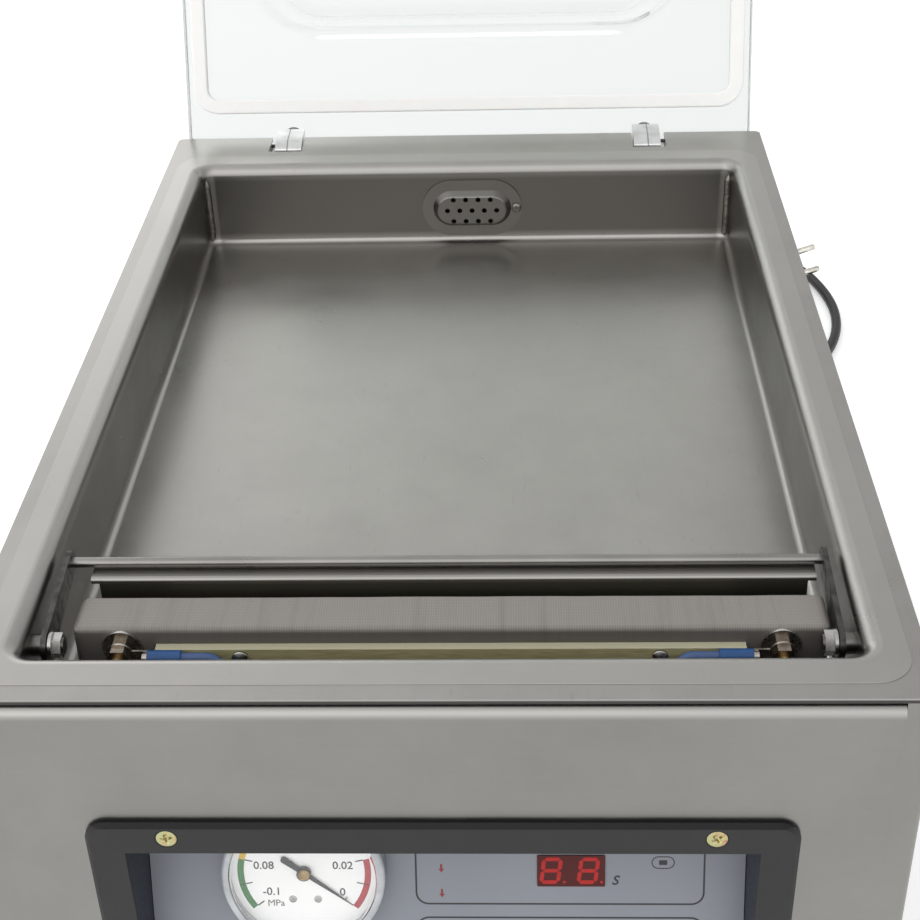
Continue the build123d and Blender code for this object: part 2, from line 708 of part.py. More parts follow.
# Bag rest: a folded sheet behind the seal bar
with BuildPart() as bag_rest:
    with BuildSketch(Plane.YZ) as rest_profile:
        with BuildLine():
            Polyline(
                (REST_FRONT + REST_LIP, REST_TOP),
                (REST_FRONT, REST_TOP),
                (REST_FRONT, FLOOR_Z),
                (REST_FRONT + REST_FOOT, FLOOR_Z),
                (REST_FRONT + REST_FOOT, FLOOR_Z + SHEET),
                (REST_FRONT + SHEET, FLOOR_Z + SHEET),
                (REST_FRONT + SHEET, REST_TOP - SHEET),
                (REST_FRONT + REST_LIP, REST_TOP - SHEET),
                close=True,
            )
        make_face()
        outside = rest_profile.vertices().group_by(Axis.X)[0]
        fillet(outside, SHEET)
    extrude(amount=REST_HALF_L, both=True)
    with BuildSketch(Plane.XZ.offset(-REST_FRONT - REST_FOOT)):
        with Locations(
            (-REST_HALF_L, (FLOOR_Z + REST_TOP) / 2 - SHEET),
            (REST_HALF_L, (FLOOR_Z + REST_TOP) / 2 - SHEET),
        ):
            Rectangle(2 * (REST_HALF_L - REST_WEB_HALF_L), REST_TOP - FLOOR_Z - SHEET)
    extrude(amount=REST_FOOT, mode=Mode.SUBTRACT)

# Bag clamp: a rod on two swinging arms
with BuildPart() as clamp_rod:
    with BuildSketch(along_x(-CLAMP_ARM_X - CLAMP_ARM_T, ROD_Y, ROD_Z)):
        Circle(ROD_R)
    extrude(amount=2 * (CLAMP_ARM_X + CLAMP_ARM_T))

with BuildPart() as clamp_arms:
    for arm_x in (-CLAMP_ARM_X - CLAMP_ARM_T, CLAMP_ARM_X):
        with BuildSketch(along_x(arm_x, 0, 0)):
            with Locations((CLAMP_Y, CLAMP_Z)):
                Circle(CLAMP_EYE_R)
            with Locations((ROD_Y, ROD_Z)):
                Circle(CLAMP_ROD_EYE_R)
            make_hull()
            with Locations((CLAMP_Y, CLAMP_Z)):
                Circle(CLAMP_STUD_R + FIT, mode=Mode.SUBTRACT)
            with Locations((ROD_Y, ROD_Z)):
                Circle(ROD_R, mode=Mode.SUBTRACT)
        extrude(amount=CLAMP_ARM_T)

with BuildPart() as clamp_nuts:
    for side in (-1, 1):
        with BuildSketch(along_x(side * (CLAMP_ARM_X - CLEAR), CLAMP_Y, CLAMP_Z)):
            Circle(CLAMP_WASHER_R)
            Circle(CLAMP_STUD_R, mode=Mode.SUBTRACT)
        extrude(amount=-side * WASHER_T)
        with BuildSketch(along_x(side * (CLAMP_ARM_X - CLEAR - WASHER_T), CLAMP_Y, CLAMP_Z)):
            RegularPolygon(CLAMP_NUT_AF / 2, 6, major_radius=False)
            Circle(CLAMP_STUD_R, mode=Mode.SUBTRACT)
        extrude(amount=-side * CLAMP_NUT_T)

# Seal bar with heating band, cloth, strips and terminals
BAR_FRONT = BAR_Y - BAR_W / 2
BAR_REAR = BAR_Y + BAR_W / 2
CLOTH_FRONT = BAR_FRONT - CLOTH_T
CLOTH_REAR = BAR_REAR + CLOTH_T
STRIP_Z = STRIP_TOP - STRIP_H / 2
STRIP_SCREW_Z = STRIP_Z + STRIP_SCREW_UP

with BuildPart() as seal_bar:
    with BuildSketch(Plane.YZ) as bar_profile:
        with Locations((BAR_Y, (BAR_TOP + BAR_BOTTOM) / 2)):
            Rectangle(BAR_W, BAR_TOP - BAR_BOTTOM)
        fillet(bar_profile.vertices().group_by(Axis.Y)[-1], BAR_R)
        with Locations((BAR_Y, BAR_TOP)):
            Rectangle(BAND_W, 2 * BAND_T, mode=Mode.SUBTRACT)
        with Locations((BAR_Y, BAR_BOTTOM)):
            Rectangle(BAR_SLOT_W, 2 * BAR_SLOT_D, mode=Mode.SUBTRACT)
    extrude(amount=BAR_HALF_L, both=True)
    with BuildSketch(along_y(0, CLOTH_FRONT, 0)):
        with Locations((-STUD_X, STUD_Z), (STUD_X, STUD_Z)):
            Circle(STUD_R + FIT)
    extrude(amount=BAR_W + 2 * CLOTH_T, mode=Mode.SUBTRACT)
    with BuildSketch(along_y(0, BAR_FRONT, 0)):
        with Locations((-STRIP_SCREW_X, STRIP_SCREW_Z), (STRIP_SCREW_X, STRIP_SCREW_Z)):
            Circle(STRIP_SCREW_R + FIT)
    extrude(amount=BAR_W, mode=Mode.SUBTRACT)
    with BuildSketch(Plane.XY.offset(BAR_BOTTOM + BAR_SLOT_D)):
        with Locations((-LIFT_X, BAR_Y), (LIFT_X, BAR_Y)):
            Circle(LIFT_ROD_R)
    extrude(amount=BAR_SLOT_D, mode=Mode.SUBTRACT)

with BuildPart() as heating_band:
    with BuildSketch(Plane.XY.offset(BAR_TOP - BAND_T)):
        with Locations((0, BAR_Y)):
            Rectangle(2 * (BAR_HALF_L - BAND_END), BAND_W)
    extrude(amount=BAND_T)

with BuildPart() as seal_cloth:
    with BuildSketch(Plane.YZ) as cloth_profile:
        with Locations((BAR_Y, BAR_TOP + CLOTH_T - CLOTH_SKIRT / 2)):
            Rectangle(BAR_W + 2 * CLOTH_T, CLOTH_SKIRT)
        fillet(cloth_profile.vertices().group_by(Axis.Y)[-1], BAR_R + CLOTH_T)
        with BuildSketch(Plane.YZ, mode=Mode.SUBTRACT) as bar_space:
            with Locations((BAR_Y, BAR_TOP - CLOTH_SKIRT / 2)):
                Rectangle(BAR_W, CLOTH_SKIRT)
            fillet(bar_space.vertices().group_by(Axis.Y)[-1], BAR_R)
    extrude(amount=BAR_HALF_L + CLOTH_OVER, both=True)
    with BuildSketch(along_y(0, CLOTH_FRONT, 0)):
        with Locations((-STUD_X, STUD_Z), (STUD_X, STUD_Z)):
            Circle(STUD_R + FIT)
        with Locations((-STRIP_SCREW_X, STRIP_SCREW_Z), (STRIP_SCREW_X, STRIP_SCREW_Z)):
            Circle(STRIP_SCREW_R + FIT)
    extrude(amount=BAR_W + 2 * CLOTH_T, mode=Mode.SUBTRACT)

with BuildPart() as cloth_strips:
    for face_y, side in ((CLOTH_FRONT, -1), (CLOTH_REAR, 1)):
        with BuildSketch(along_y(0, face_y, STRIP_Z)):
            Rectangle(2 * STRIP_HALF_L, STRIP_H)
            with Locations((-STRIP_SCREW_X, STRIP_SCREW_Z - STRIP_Z)):
                Circle(STRIP_SCREW_R + FIT, mode=Mode.SUBTRACT)
            with Locations((STRIP_SCREW_X, STRIP_SCREW_Z - STRIP_Z)):
                Circle(STRIP_SCREW_R + FIT, mode=Mode.SUBTRACT)
        extrude(amount=side * STRIP_T)

with BuildPart() as strip_screws:
    for face_y, side in ((CLOTH_FRONT - STRIP_T, -1), (CLOTH_REAR + STRIP_T, 1)):
        with BuildSketch(along_y(0, face_y, STRIP_SCREW_Z)):
            with Locations((-STRIP_SCREW_X, 0), (STRIP_SCREW_X, 0)):
                Circle(STRIP_HEAD_R)
        extrude(amount=side * STRIP_HEAD_H, taper=15)
        with BuildSketch(along_y(0, face_y, STRIP_SCREW_Z)):
            with Locations((-STRIP_SCREW_X, 0), (STRIP_SCREW_X, 0)):
                Circle(STRIP_SCREW_R)
        extrude(amount=-side * (STRIP_T + CLOTH_T + STRIP_SCREW_DEPTH))

INNER_NUT_END = CLOTH_FRONT - WASHER_T - NUT_T
RING_END = INNER_NUT_END - RING_T
OUTER_NUT_END = RING_END - NUT_T
BARREL_Y = RING_END - BARREL_R + RING_T / 2

with BuildPart() as terminal_studs:
    with BuildSketch(along_y(0, OUTER_NUT_END - STUD_TAIL, 0)):
        with Locations((-STUD_X, STUD_Z), (STUD_X, STUD_Z)):
            Circle(STUD_R)
    extrude(amount=CLOTH_REAR - OUTER_NUT_END + STUD_TAIL)
    with BuildSketch(along_y(0, CLOTH_REAR, 0)):
        with Locations((-STUD_X, STUD_Z), (STUD_X, STUD_Z)):
            Circle(STUD_HEAD_R)
    extrude(amount=STUD_HEAD_T)

with BuildPart() as terminal_nuts:
    with BuildSketch(along_y(0, CLOTH_FRONT, 0)):
        with Locations((-STUD_X, STUD_Z), (STUD_X, STUD_Z)):
            Circle(TERMINAL_WASHER_R)
            Circle(STUD_R, mode=Mode.SUBTRACT)
    extrude(amount=-WASHER_T)
    for start in (CLOTH_FRONT - WASHER_T, RING_END):
        with BuildSketch(along_y(0, start, 0)):
            with Locations((-STUD_X, STUD_Z), (STUD_X, STUD_Z)):
                RegularPolygon(NUT_AF / 2, 6, major_radius=False)
                Circle(STUD_R, mode=Mode.SUBTRACT)
        extrude(amount=-NUT_T)

with BuildPart() as ring_terminals:
    with BuildSketch(along_y(0, INNER_NUT_END, 0)):
        with Locations((-STUD_X, STUD_Z), (STUD_X, STUD_Z)):
            Circle(RING_R)
        for side in (-1, 1):
            with Locations((side * (STUD_X - (SLEEVE_REACH - CLEAR) / 2), STUD_Z)):
                Rectangle(SLEEVE_REACH - CLEAR, 2 * BARREL_R)
        with Locations((-STUD_X, STUD_Z), (STUD_X, STUD_Z)):
            Circle(STUD_R, mode=Mode.SUBTRACT)
    extrude(amount=-RING_T)
    for side in (-1, 1):
        with BuildSketch(along_x(side * (STUD_X - SLEEVE_REACH + BARREL_R), BARREL_Y, STUD_Z)):
            Circle(BARREL_R)
        extrude(amount=-side * (SLEEVE_L + BARREL_R))

with BuildPart() as terminal_sleeves:
    for side in (-1, 1):
        with BuildSketch(along_x(side * (STUD_X - SLEEVE_REACH), BARREL_Y, STUD_Z)):
            Circle(SLEEVE_R)
            Circle(BARREL_R, mode=Mode.SUBTRACT)
        extrude(amount=-side * SLEEVE_L)

LEAD_START = STUD_X - SLEEVE_REACH - SLEEVE_L

with BuildPart() as seal_leads:
    for side in (-1, 1):
        with BuildLine() as lead_route:
            FilletPolyline(
                (side * LEAD_START, BARREL_Y, STUD_Z),
                (side * LEAD_X, BARREL_Y, STUD_Z),
                (side * LEAD_X, LEAD_Y, LEAD_BEND_Z),
                (side * LEAD_X, LEAD_Y, LEAD_END_Z),
                radius=LEAD_BEND,
            )
        with BuildSketch(Plane(origin=lead_route.line @ 0, z_dir=lead_route.line % 0)):
            Circle(LEAD_R - FIT)
        sweep(path=lead_route.line)

with BuildPart() as lead_grommets:
    with BuildSketch(Plane.XY.offset(FLOOR_UNDER)):
        with Locations((-LEAD_X, LEAD_Y), (LEAD_X, LEAD_Y)):
            Circle(GROMMET_R)
            Circle(LEAD_R + CLEAR, mode=Mode.SUBTRACT)
    extrude(amount=TUB_T)
    with BuildSketch(Plane.XY.offset(FLOOR_Z)):
        with Locations((-LEAD_X, LEAD_Y), (LEAD_X, LEAD_Y)):
            Circle(GROMMET_RIM_R)
            Circle(LEAD_R + CLEAR, mode=Mode.SUBTRACT)
    extrude(amount=GROMMET_RIM_T)

with BuildPart() as lift_rods:
    with BuildSketch(Plane.XY.offset(LIFT_ROD_END)):
        with Locations((-LIFT_X, BAR_Y), (LIFT_X, BAR_Y)):
            Circle(LIFT_ROD_R)
    extrude(amount=BAR_BOTTOM + 2 * BAR_SLOT_D - LIFT_ROD_END)

with BuildPart() as lift_bushes:
    with BuildSketch(Plane.XY.offset(FLOOR_UNDER)):
        with Locations((-LIFT_X, BAR_Y), (LIFT_X, BAR_Y)):
            Circle(BUSH_R)
            Circle(LIFT_ROD_R + FIT, mode=Mode.SUBTRACT)
    extrude(amount=TUB_T)
    with BuildSketch(Plane.XY.offset(FLOOR_Z)):
        with Locations((-LIFT_X, BAR_Y), (LIFT_X, BAR_Y)):
            Circle(BUSH_RIM_R)
            Circle(LIFT_ROD_R + FIT, mode=Mode.SUBTRACT)
    extrude(amount=BUSH_RIM_T)

with BuildPart() as lift_cylinders:
    with BuildSketch(Plane.XY.offset(FLOOR_UNDER - LIFT_CYL_H)):
        with Locations((-LIFT_X, BAR_Y), (LIFT_X, BAR_Y)):
            Circle(LIFT_CYL_R)
    extrude(amount=LIFT_CYL_H)
    with BuildSketch(Plane.XY.offset(FLOOR_UNDER - LIFT_CYL_H + LIFT_CYL_CAP)):
        with Locations((-LIFT_X, BAR_Y), (LIFT_X, BAR_Y)):
            Circle(LIFT_ROD_R + CLEAR)
    extrude(amount=LIFT_CYL_H - LIFT_CYL_CAP, mode=Mode.SUBTRACT)
    with BuildSketch(Plane.XY.offset(FLOOR_UNDER - LIFT_CYL_H)):
        with Locations((-LIFT_X, BAR_Y), (LIFT_X, BAR_Y)):
            Circle(LIFT_PORT_R)
    extrude(amount=-LIFT_PORT_L)

# Lid, drawn closed
LID_Y = (LID_REAR + LID_FRONT) / 2
DOME_Y = (DOME_REAR + DOME_FRONT) / 2
GASKET_Y = (GASKET_REAR + GASKET_FRONT) / 2

with BuildPart() as lid:
    with BuildSketch(Plane.XY.offset(LID_Z)):
        with Locations((0, LID_Y)):
            RectangleRounded(2 * LID_HALF_W, LID_REAR - LID_FRONT, LID_R)
    extrude(amount=LID_T)
    fillet(lid.faces().sort_by(Axis.Z)[-1].edges(), LID_EDGE_R)
    with BuildSketch(Plane.XY.offset(LID_Z + LID_T)):
        with Locations((0, DOME_Y)):
            RectangleRounded(2 * DOME_HALF_W, DOME_REAR - DOME_FRONT, DOME_R)
    extrude(amount=DOME_H, taper=DOME_TAPER)
    fillet(lid.faces().sort_by(Axis.Z)[-1].edges(), DOME_TOP_R)
    dome_foot = lid.edges().filter_by_position(Axis.Z, LID_Z + LID_T, LID_Z + LID_T)
    dome_foot = dome_foot.filter_by_position(Axis.X, -DOME_HALF_W, DOME_HALF_W)
    fillet(dome_foot.filter_by_position(Axis.Y, DOME_FRONT, DOME_REAR), DOME_FOOT_R)
    with BuildPart(mode=Mode.SUBTRACT) as hollow:
        with BuildSketch(Plane.XY.offset(LID_Z)):
            with Locations((0, DOME_Y)):
                RectangleRounded(
                    2 * (DOME_HALF_W - DOME_T + LID_T * tan(radians(DOME_TAPER))),
                    DOME_REAR - DOME_FRONT - 2 * (DOME_T - LID_T * tan(radians(DOME_TAPER))),
                    DOME_R - DOME_T,
                )
        extrude(amount=LID_T + DOME_H - DOME_T, taper=DOME_TAPER)
        fillet(hollow.faces().sort_by(Axis.Z)[-1].edges(), DOME_TOP_R - DOME_T)
    dome_mouth = lid.faces().sort_by(Axis.Z)[0].inner_wires()[0]
    fillet(dome_mouth.edges(), DOME_FOOT_R)
    with BuildSketch(Plane.XY.offset(LID_Z)):
        with Locations((0, GASKET_Y)):
            RectangleRounded(2 * GASKET_HALF_W, GASKET_REAR - GASKET_FRONT, GASKET_R)
            RectangleRounded(
                2 * (GASKET_HALF_W - GASKET_W),
                GASKET_REAR - GASKET_FRONT - 2 * GASKET_W,
                GASKET_R - GASKET_W,
                mode=Mode.SUBTRACT,
            )
    extrude(amount=GROOVE, mode=Mode.SUBTRACT)
    with BuildSketch(Plane.XY.offset(LID_Z)):
        with Locations((-HINGE_X, HINGE_SCREW_Y), (HINGE_X, HINGE_SCREW_Y)):
            Circle(HINGE_SCREW_R + FIT)
    extrude(amount=LID_T, mode=Mode.SUBTRACT)

with BuildPart() as lid_gasket:
    with BuildSketch(Plane.XY.offset(LAND_Z + CLEAR)):
        with Locations((0, GASKET_Y)):
            RectangleRounded(2 * GASKET_HALF_W, GASKET_REAR - GASKET_FRONT, GASKET_R)
            RectangleRounded(
                2 * (GASKET_HALF_W - GASKET_W),
                GASKET_REAR - GASKET_FRONT - 2 * GASKET_W,
                GASKET_R - GASKET_W,
                mode=Mode.SUBTRACT,
            )
    extrude(amount=LID_GAP - CLEAR + GROOVE)
    fillet(lid_gasket.faces().sort_by(Axis.Z)[0].edges(), GASKET_ROUND)

with BuildPart() as press_bar_holder:
    with BuildSketch(Plane.YZ):
        with Locations((BAR_Y, LID_Z - PRESS_T / 2)):
            Rectangle(PRESS_W, PRESS_T)
        with Locations((BAR_Y, LID_Z - PRESS_T)):
            Rectangle(PAD_W, 2 * PRESS_LIP, mode=Mode.SUBTRACT)
    extrude(amount=PRESS_HALF_L, both=True)

with BuildPart() as press_bar:
    with BuildSketch(Plane.YZ) as pad_profile:
        with Locations((BAR_Y, LID_Z - PRESS_T + PRESS_LIP - (PAD_T + PRESS_LIP) / 2)):
            Rectangle(PAD_W, PAD_T + PRESS_LIP)
        fillet(pad_profile.vertices().group_by(Axis.Y)[0], PAD_R)
    extrude(amount=PRESS_HALF_L, both=True)

# Hinges: cast arms on the lid, pins in lugs under the deck
ARM_TOP = LID_Z - PIVOT_Z

with BuildPart() as hinge_arms:
    for side in (-1, 1):
        with BuildSketch(along_x(side * HINGE_X - ARM_W / 2, PIVOT_Y, PIVOT_Z)) as arm_profile:
            with BuildLine():
                Polyline(
                    (-ARM_FRONT, ARM_TOP),
                    (ARM_REAR, ARM_TOP),
                    (ARM_REAR, 0),
                    (0, -ARM_BARREL_R),
                    ARM_HEEL,
                    ARM_RIDGE,
                    close=True,
                )
            make_face()
            fillet(arm_profile.vertices().sort_by(Axis.Y)[0], 2 * ARM_EDGE_R)
            Circle(ARM_BARREL_R)
            Circle(PIN_R + FIT, mode=Mode.SUBTRACT)
        extrude(amount=ARM_W)
    with BuildSketch(Plane.XY.offset(LID_Z)):
        with Locations((-HINGE_X, HINGE_SCREW_Y), (HINGE_X, HINGE_SCREW_Y)):
            Circle(HINGE_SCREW_R + FIT)
    extrude(amount=-HINGE_SCREW_BITE, mode=Mode.SUBTRACT)

with BuildPart() as hinge_screws:
    with BuildSketch(Plane.XY.offset(LID_Z - HINGE_SCREW_BITE)):
        with Locations((-HINGE_X, HINGE_SCREW_Y), (HINGE_X, HINGE_SCREW_Y)):
            Circle(HINGE_SCREW_R)
    extrude(amount=LID_T + HINGE_SCREW_BITE)
    with BuildSketch(Plane.XY.offset(LID_Z + LID_T)):
        with Locations((-HINGE_X, HINGE_SCREW_Y), (HINGE_X, HINGE_SCREW_Y)):
            Circle(HINGE_HEAD_R)
    extrude(amount=HINGE_HEAD_H)
    fillet(hinge_screws.faces().group_by(Axis.Z)[-1].edges(), HINGE_HEAD_H - CLEAR)

with BuildPart() as hinge_brackets:
    for lug_x in (-LUG_FAR, -LUG_NEAR, LUG_NEAR, LUG_FAR):
        with BuildSketch(along_x(lug_x - LUG_T / 2, 0, 0)) as lug_profile:
            with Locations(((LUG_Y0 + LUG_Y1) / 2, (DECK_UNDER + PIVOT_Z - LUG_DROP) / 2)):
                Rectangle(LUG_Y1 - LUG_Y0, DECK_UNDER - PIVOT_Z + LUG_DROP)
            fillet(lug_profile.vertices().group_by(Axis.Z)[0], LUG_R)
            with Locations((PIVOT_Y, PIVOT_Z)):
                Circle(PIN_R, mode=Mode.SUBTRACT)
        extrude(amount=LUG_T)

with BuildPart() as hinge_pins:
    for side in (-1, 1):
        with BuildSketch(along_x(side * (LUG_NEAR - LUG_T / 2 - PIN_OVER), PIVOT_Y, PIVOT_Z)):
            Circle(PIN_R)
        extrude(amount=side * (LUG_FAR - LUG_NEAR + LUG_T + 2 * PIN_OVER))

# Console frame, membrane panel, display and gauge
FRAME_Y = -HALF_D - FRAME_T
BACK_DEPTH = PANEL_T + CONSOLE_WALL

with BuildPart() as console_frame:
    with BuildSketch(along_y(0, FRAME_Y, PANEL_MID_Z)):
        RectangleRounded(
            2 * (WIN_HALF_W + FRAME_W), WIN_TOP - WIN_BOTTOM + 2 * FRAME_W, FRAME_R
        )
    extrude(amount=FRAME_T)
    chamfer(console_frame.faces().sort_by(Axis.Y)[0].edges(), FRAME_CHAMFER)
    with BuildSketch(Plane.YZ):
        with BuildLine():
            Polyline(
                (-HALF_D, WIN_TOP + CONSOLE_WALL),
                (panel_y(WIN_TOP + CONSOLE_WALL, BACK_DEPTH), WIN_TOP + CONSOLE_WALL),
                (panel_y(WIN_BOTTOM - CONSOLE_WALL, BACK_DEPTH), WIN_BOTTOM - CONSOLE_WALL),
                (-HALF_D, WIN_BOTTOM - CONSOLE_WALL),
                close=True,
            )
        make_face()
    extrude(amount=WIN_HALF_W + CONSOLE_WALL, both=True)
    with BuildSketch(Plane.YZ):
        with BuildLine():
            Polyline(
                (FRAME_Y, WIN_TOP),
                (panel_y(WIN_TOP, PANEL_T), WIN_TOP),
                (panel_y(WIN_BOTTOM, PANEL_T), WIN_BOTTOM),
                (FRAME_Y, WIN_BOTTOM),
                close=True,
            )
        make_face()
    extrude(amount=WIN_HALF_W, both=True, mode=Mode.SUBTRACT)
    with BuildSketch(panel_plane.offset(-PANEL_T - CONSOLE_WALL)):
        with Locations((BOARD_X, BOARD_V)):
            with GridLocations(BOARD_W - 2 * BOSS_INSET, BOARD_H - 2 * BOSS_INSET, 2, 2):
                Circle(BOSS_R)
    extrude(amount=-BOSS_L)
    with BuildSketch(gauge_plane.offset(-PANEL_T)):
        Circle(GAUGE_BACK_R + CLEAR)
    extrude(amount=-CONSOLE_WALL, mode=Mode.SUBTRACT)
    with BuildSketch(along_y(0, FRAME_Y, PANEL_MID_Z)):
        with GridLocations(
            2 * CONSOLE_SCREW_X, WIN_TOP - WIN_BOTTOM + 2 * (FRAME_W - CONSOLE_SCREW_IN), 2, 2
        ):
            Circle(CONSOLE_SHANK_R + FIT)
    extrude(amount=FRAME_T, mode=Mode.SUBTRACT)
    with BuildSketch(along_y(0, FRAME_Y, PANEL_MID_Z)):
        with GridLocations(
            2 * CONSOLE_SCREW_X, WIN_TOP - WIN_BOTTOM + 2 * (FRAME_W - CONSOLE_SCREW_IN), 2, 2
        ):
            Circle(CONSOLE_SCREW_R)
    extrude(amount=CONSOLE_SCREW_R - CONSOLE_SHANK_R, taper=45, mode=Mode.SUBTRACT)

with BuildPart() as console_screws:
    with BuildSketch(along_y(0, FRAME_Y, PANEL_MID_Z)):
        with GridLocations(
            2 * CONSOLE_SCREW_X, WIN_TOP - WIN_BOTTOM + 2 * (FRAME_W - CONSOLE_SCREW_IN), 2, 2
        ):
            Circle(CONSOLE_SCREW_R)
    extrude(amount=CONSOLE_SCREW_R - CONSOLE_SHANK_R, taper=45)
    with BuildSketch(along_y(0, FRAME_Y + (CONSOLE_SCREW_R - CONSOLE_SHANK_R) / 2, PANEL_MID_Z)):
        with GridLocations(
            2 * CONSOLE_SCREW_X, WIN_TOP - WIN_BOTTOM + 2 * (FRAME_W - CONSOLE_SCREW_IN), 2, 2
        ):
            Circle(CONSOLE_SHANK_R)
    extrude(amount=CONSOLE_SHANK_L)

with BuildPart() as membrane_panel:
    with BuildSketch(panel_plane.offset(-PANEL_T)):
        Rectangle(
            2 * (WIN_HALF_W - CLEAR), (WIN_TOP - WIN_BOTTOM) / PANEL_COS - 2 * PANEL_SLACK
        )
        with Locations((GAUGE_X, GAUGE_V)):
            Circle(GAUGE_BACK_R + CLEAR, mode=Mode.SUBTRACT)
    extrude(amount=PANEL_T)

with BuildPart() as display_window:
    with BuildSketch(panel_plane):
        with Locations((DISPLAY_X, DISPLAY_V)):
            RectangleRounded(DISPLAY_W, DISPLAY_H, DISPLAY_T)
    extrude(amount=DISPLAY_T)

DIAL_R = GAUGE_R - GAUGE_WALL
NEEDLE_Z = GAUGE_FLOOR + DIAL_T + CLEAR
needle_plane = Plane(
    origin=gauge_plane.origin,
    x_dir=gauge_plane.x_dir.rotate(Axis((0, 0, 0), gauge_plane.z_dir), NEEDLE_REST),
    z_dir=gauge_plane.z_dir,
)

with BuildPart() as gauge_case:
    with BuildSketch(gauge_plane):
        Circle(GAUGE_R)
    extrude(amount=GAUGE_RISE)
    fillet(gauge_case.faces().sort_by(Axis(gauge_plane.origin, gauge_plane.z_dir))[-1].edges(), GAUGE_RIM_R)
    with BuildSketch(gauge_plane.offset(GAUGE_FLOOR)):
        Circle(DIAL_R)
    extrude(amount=GAUGE_RISE, mode=Mode.SUBTRACT)
    with BuildSketch(gauge_plane):
        Circle(GAUGE_BACK_R)
    extrude(amount=-GAUGE_BACK_L)
    with BuildSketch(gauge_plane.offset(-GAUGE_BACK_L)):
        Circle(SPIGOT_R)
    extrude(amount=-SPIGOT_L)
    with BuildSketch(gauge_plane.offset(GAUGE_FLOOR)):
        Circle(SPINDLE_R + FIT)
    extrude(amount=-SPINDLE_L, mode=Mode.SUBTRACT)

with BuildPart() as gauge_dial:
    with BuildSketch(gauge_plane.offset(GAUGE_FLOOR)):
        Circle(DIAL_R - FIT)
        Circle(SPINDLE_R + FIT, mode=Mode.SUBTRACT)
    extrude(amount=DIAL_T)

with BuildPart() as gauge_needle:
    with BuildSketch(needle_plane.offset(NEEDLE_Z)):
        with BuildLine():
            Polyline(
                (-NEEDLE_TAIL, -NEEDLE_HALF_W),
                (-NEEDLE_TAIL, NEEDLE_HALF_W),
                (NEEDLE_TIP, 0),
                close=True,
            )
        make_face()
    extrude(amount=NEEDLE_T)
    with BuildSketch(gauge_plane.offset(NEEDLE_Z)):
        Circle(HUB_R)
    extrude(amount=HUB_T)
    with BuildSketch(gauge_plane.offset(NEEDLE_Z)):
        Circle(SPINDLE_R)
    extrude(amount=-SPINDLE_L)

with BuildPart() as gauge_lens:
    with BuildSketch(gauge_plane.offset(LENS_Z)):
        Circle(DIAL_R - FIT)
    extrude(amount=LENS_T)
    fillet(gauge_lens.faces().sort_by(Axis(gauge_plane.origin, gauge_plane.z_dir))[-1].edges(), LENS_CROWN)

BOARD_DEPTH = PANEL_T + CONSOLE_WALL + BOSS_L
board_plane = panel_plane.offset(-BOARD_DEPTH)

with BuildPart() as control_board:
    with BuildSketch(board_plane):
        with Locations((BOARD_X, BOARD_V)):
            Rectangle(BOARD_W, BOARD_H)
    extrude(amount=-BOARD_T)
    with BuildSketch(board_plane.offset(-BOARD_T)):
        with Locations((BOARD_X, BOARD_V - BOARD_H / 4)):
            with GridLocations(BOARD_W / 4, BOARD_H / 4, 3, 1):
                Rectangle(BOARD_W / 6, BOARD_H / 6)
    extrude(amount=-BOSS_L)
    with BuildSketch(board_plane.offset(-BOARD_T)):
        with Locations((BOARD_X, BOARD_V + BOARD_H / 4)):
            with GridLocations(BOARD_W / 4, BOARD_H / 4, 3, 1):
                Circle(BOSS_L / 2)
    extrude(amount=-BOSS_L - BOSS_R)

# Vacuum pump and motor on a skid with rubber mounts
SKID_Z = BASE_TOP + MOUNT_H
SKID_TOP = SKID_Z + SKID_T
PUMP_FACE = PUMP_X - PUMP_L / 2
MOTOR_Z = SKID_TOP + MOTOR_R + MOTOR_FIN_H + CLEAR
MOTOR_TAIL = PUMP_FACE - MOTOR_L
FAN_X = MOTOR_TAIL - FAN_GAP

with BuildPart() as pump_mounts:
    with BuildSketch(Plane.XY.offset(BASE_TOP)):
        with Locations(((SKID_X0 + SKID_X1) / 2, PUMP_Y)):
            with GridLocations(
                SKID_X1 - SKID_X0 - 2 * MOUNT_INSET, SKID_W - 2 * MOUNT_INSET, 2, 2
            ):
                Circle(MOUNT_R)
    extrude(amount=MOUNT_H)

with BuildPart() as vacuum_pump:
    with BuildSketch(Plane.XY.offset(SKID_Z)):
        with Locations(((SKID_X0 + SKID_X1) / 2, PUMP_Y)):
            Rectangle(SKID_X1 - SKID_X0, SKID_W)
    extrude(amount=SKID_T)
    with BuildSketch(along_x(PUMP_FACE, PUMP_Y, SKID_TOP + PUMP_H / 2)):
        RectangleRounded(PUMP_W, PUMP_H, PUMP_R)
    extrude(amount=PUMP_L)
    with BuildSketch(along_y(PUMP_X, PUMP_Y, INLET_Z)):
        Circle(INLET_R)
    extrude(amount=PUMP_W / 2 + INLET_L)
    with BuildSketch(along_x(PUMP_FACE + PUMP_L, PUMP_Y, SKID_TOP + PUMP_H / 3)):
        Circle(OIL_GLASS_R)
    extrude(amount=SHEET)

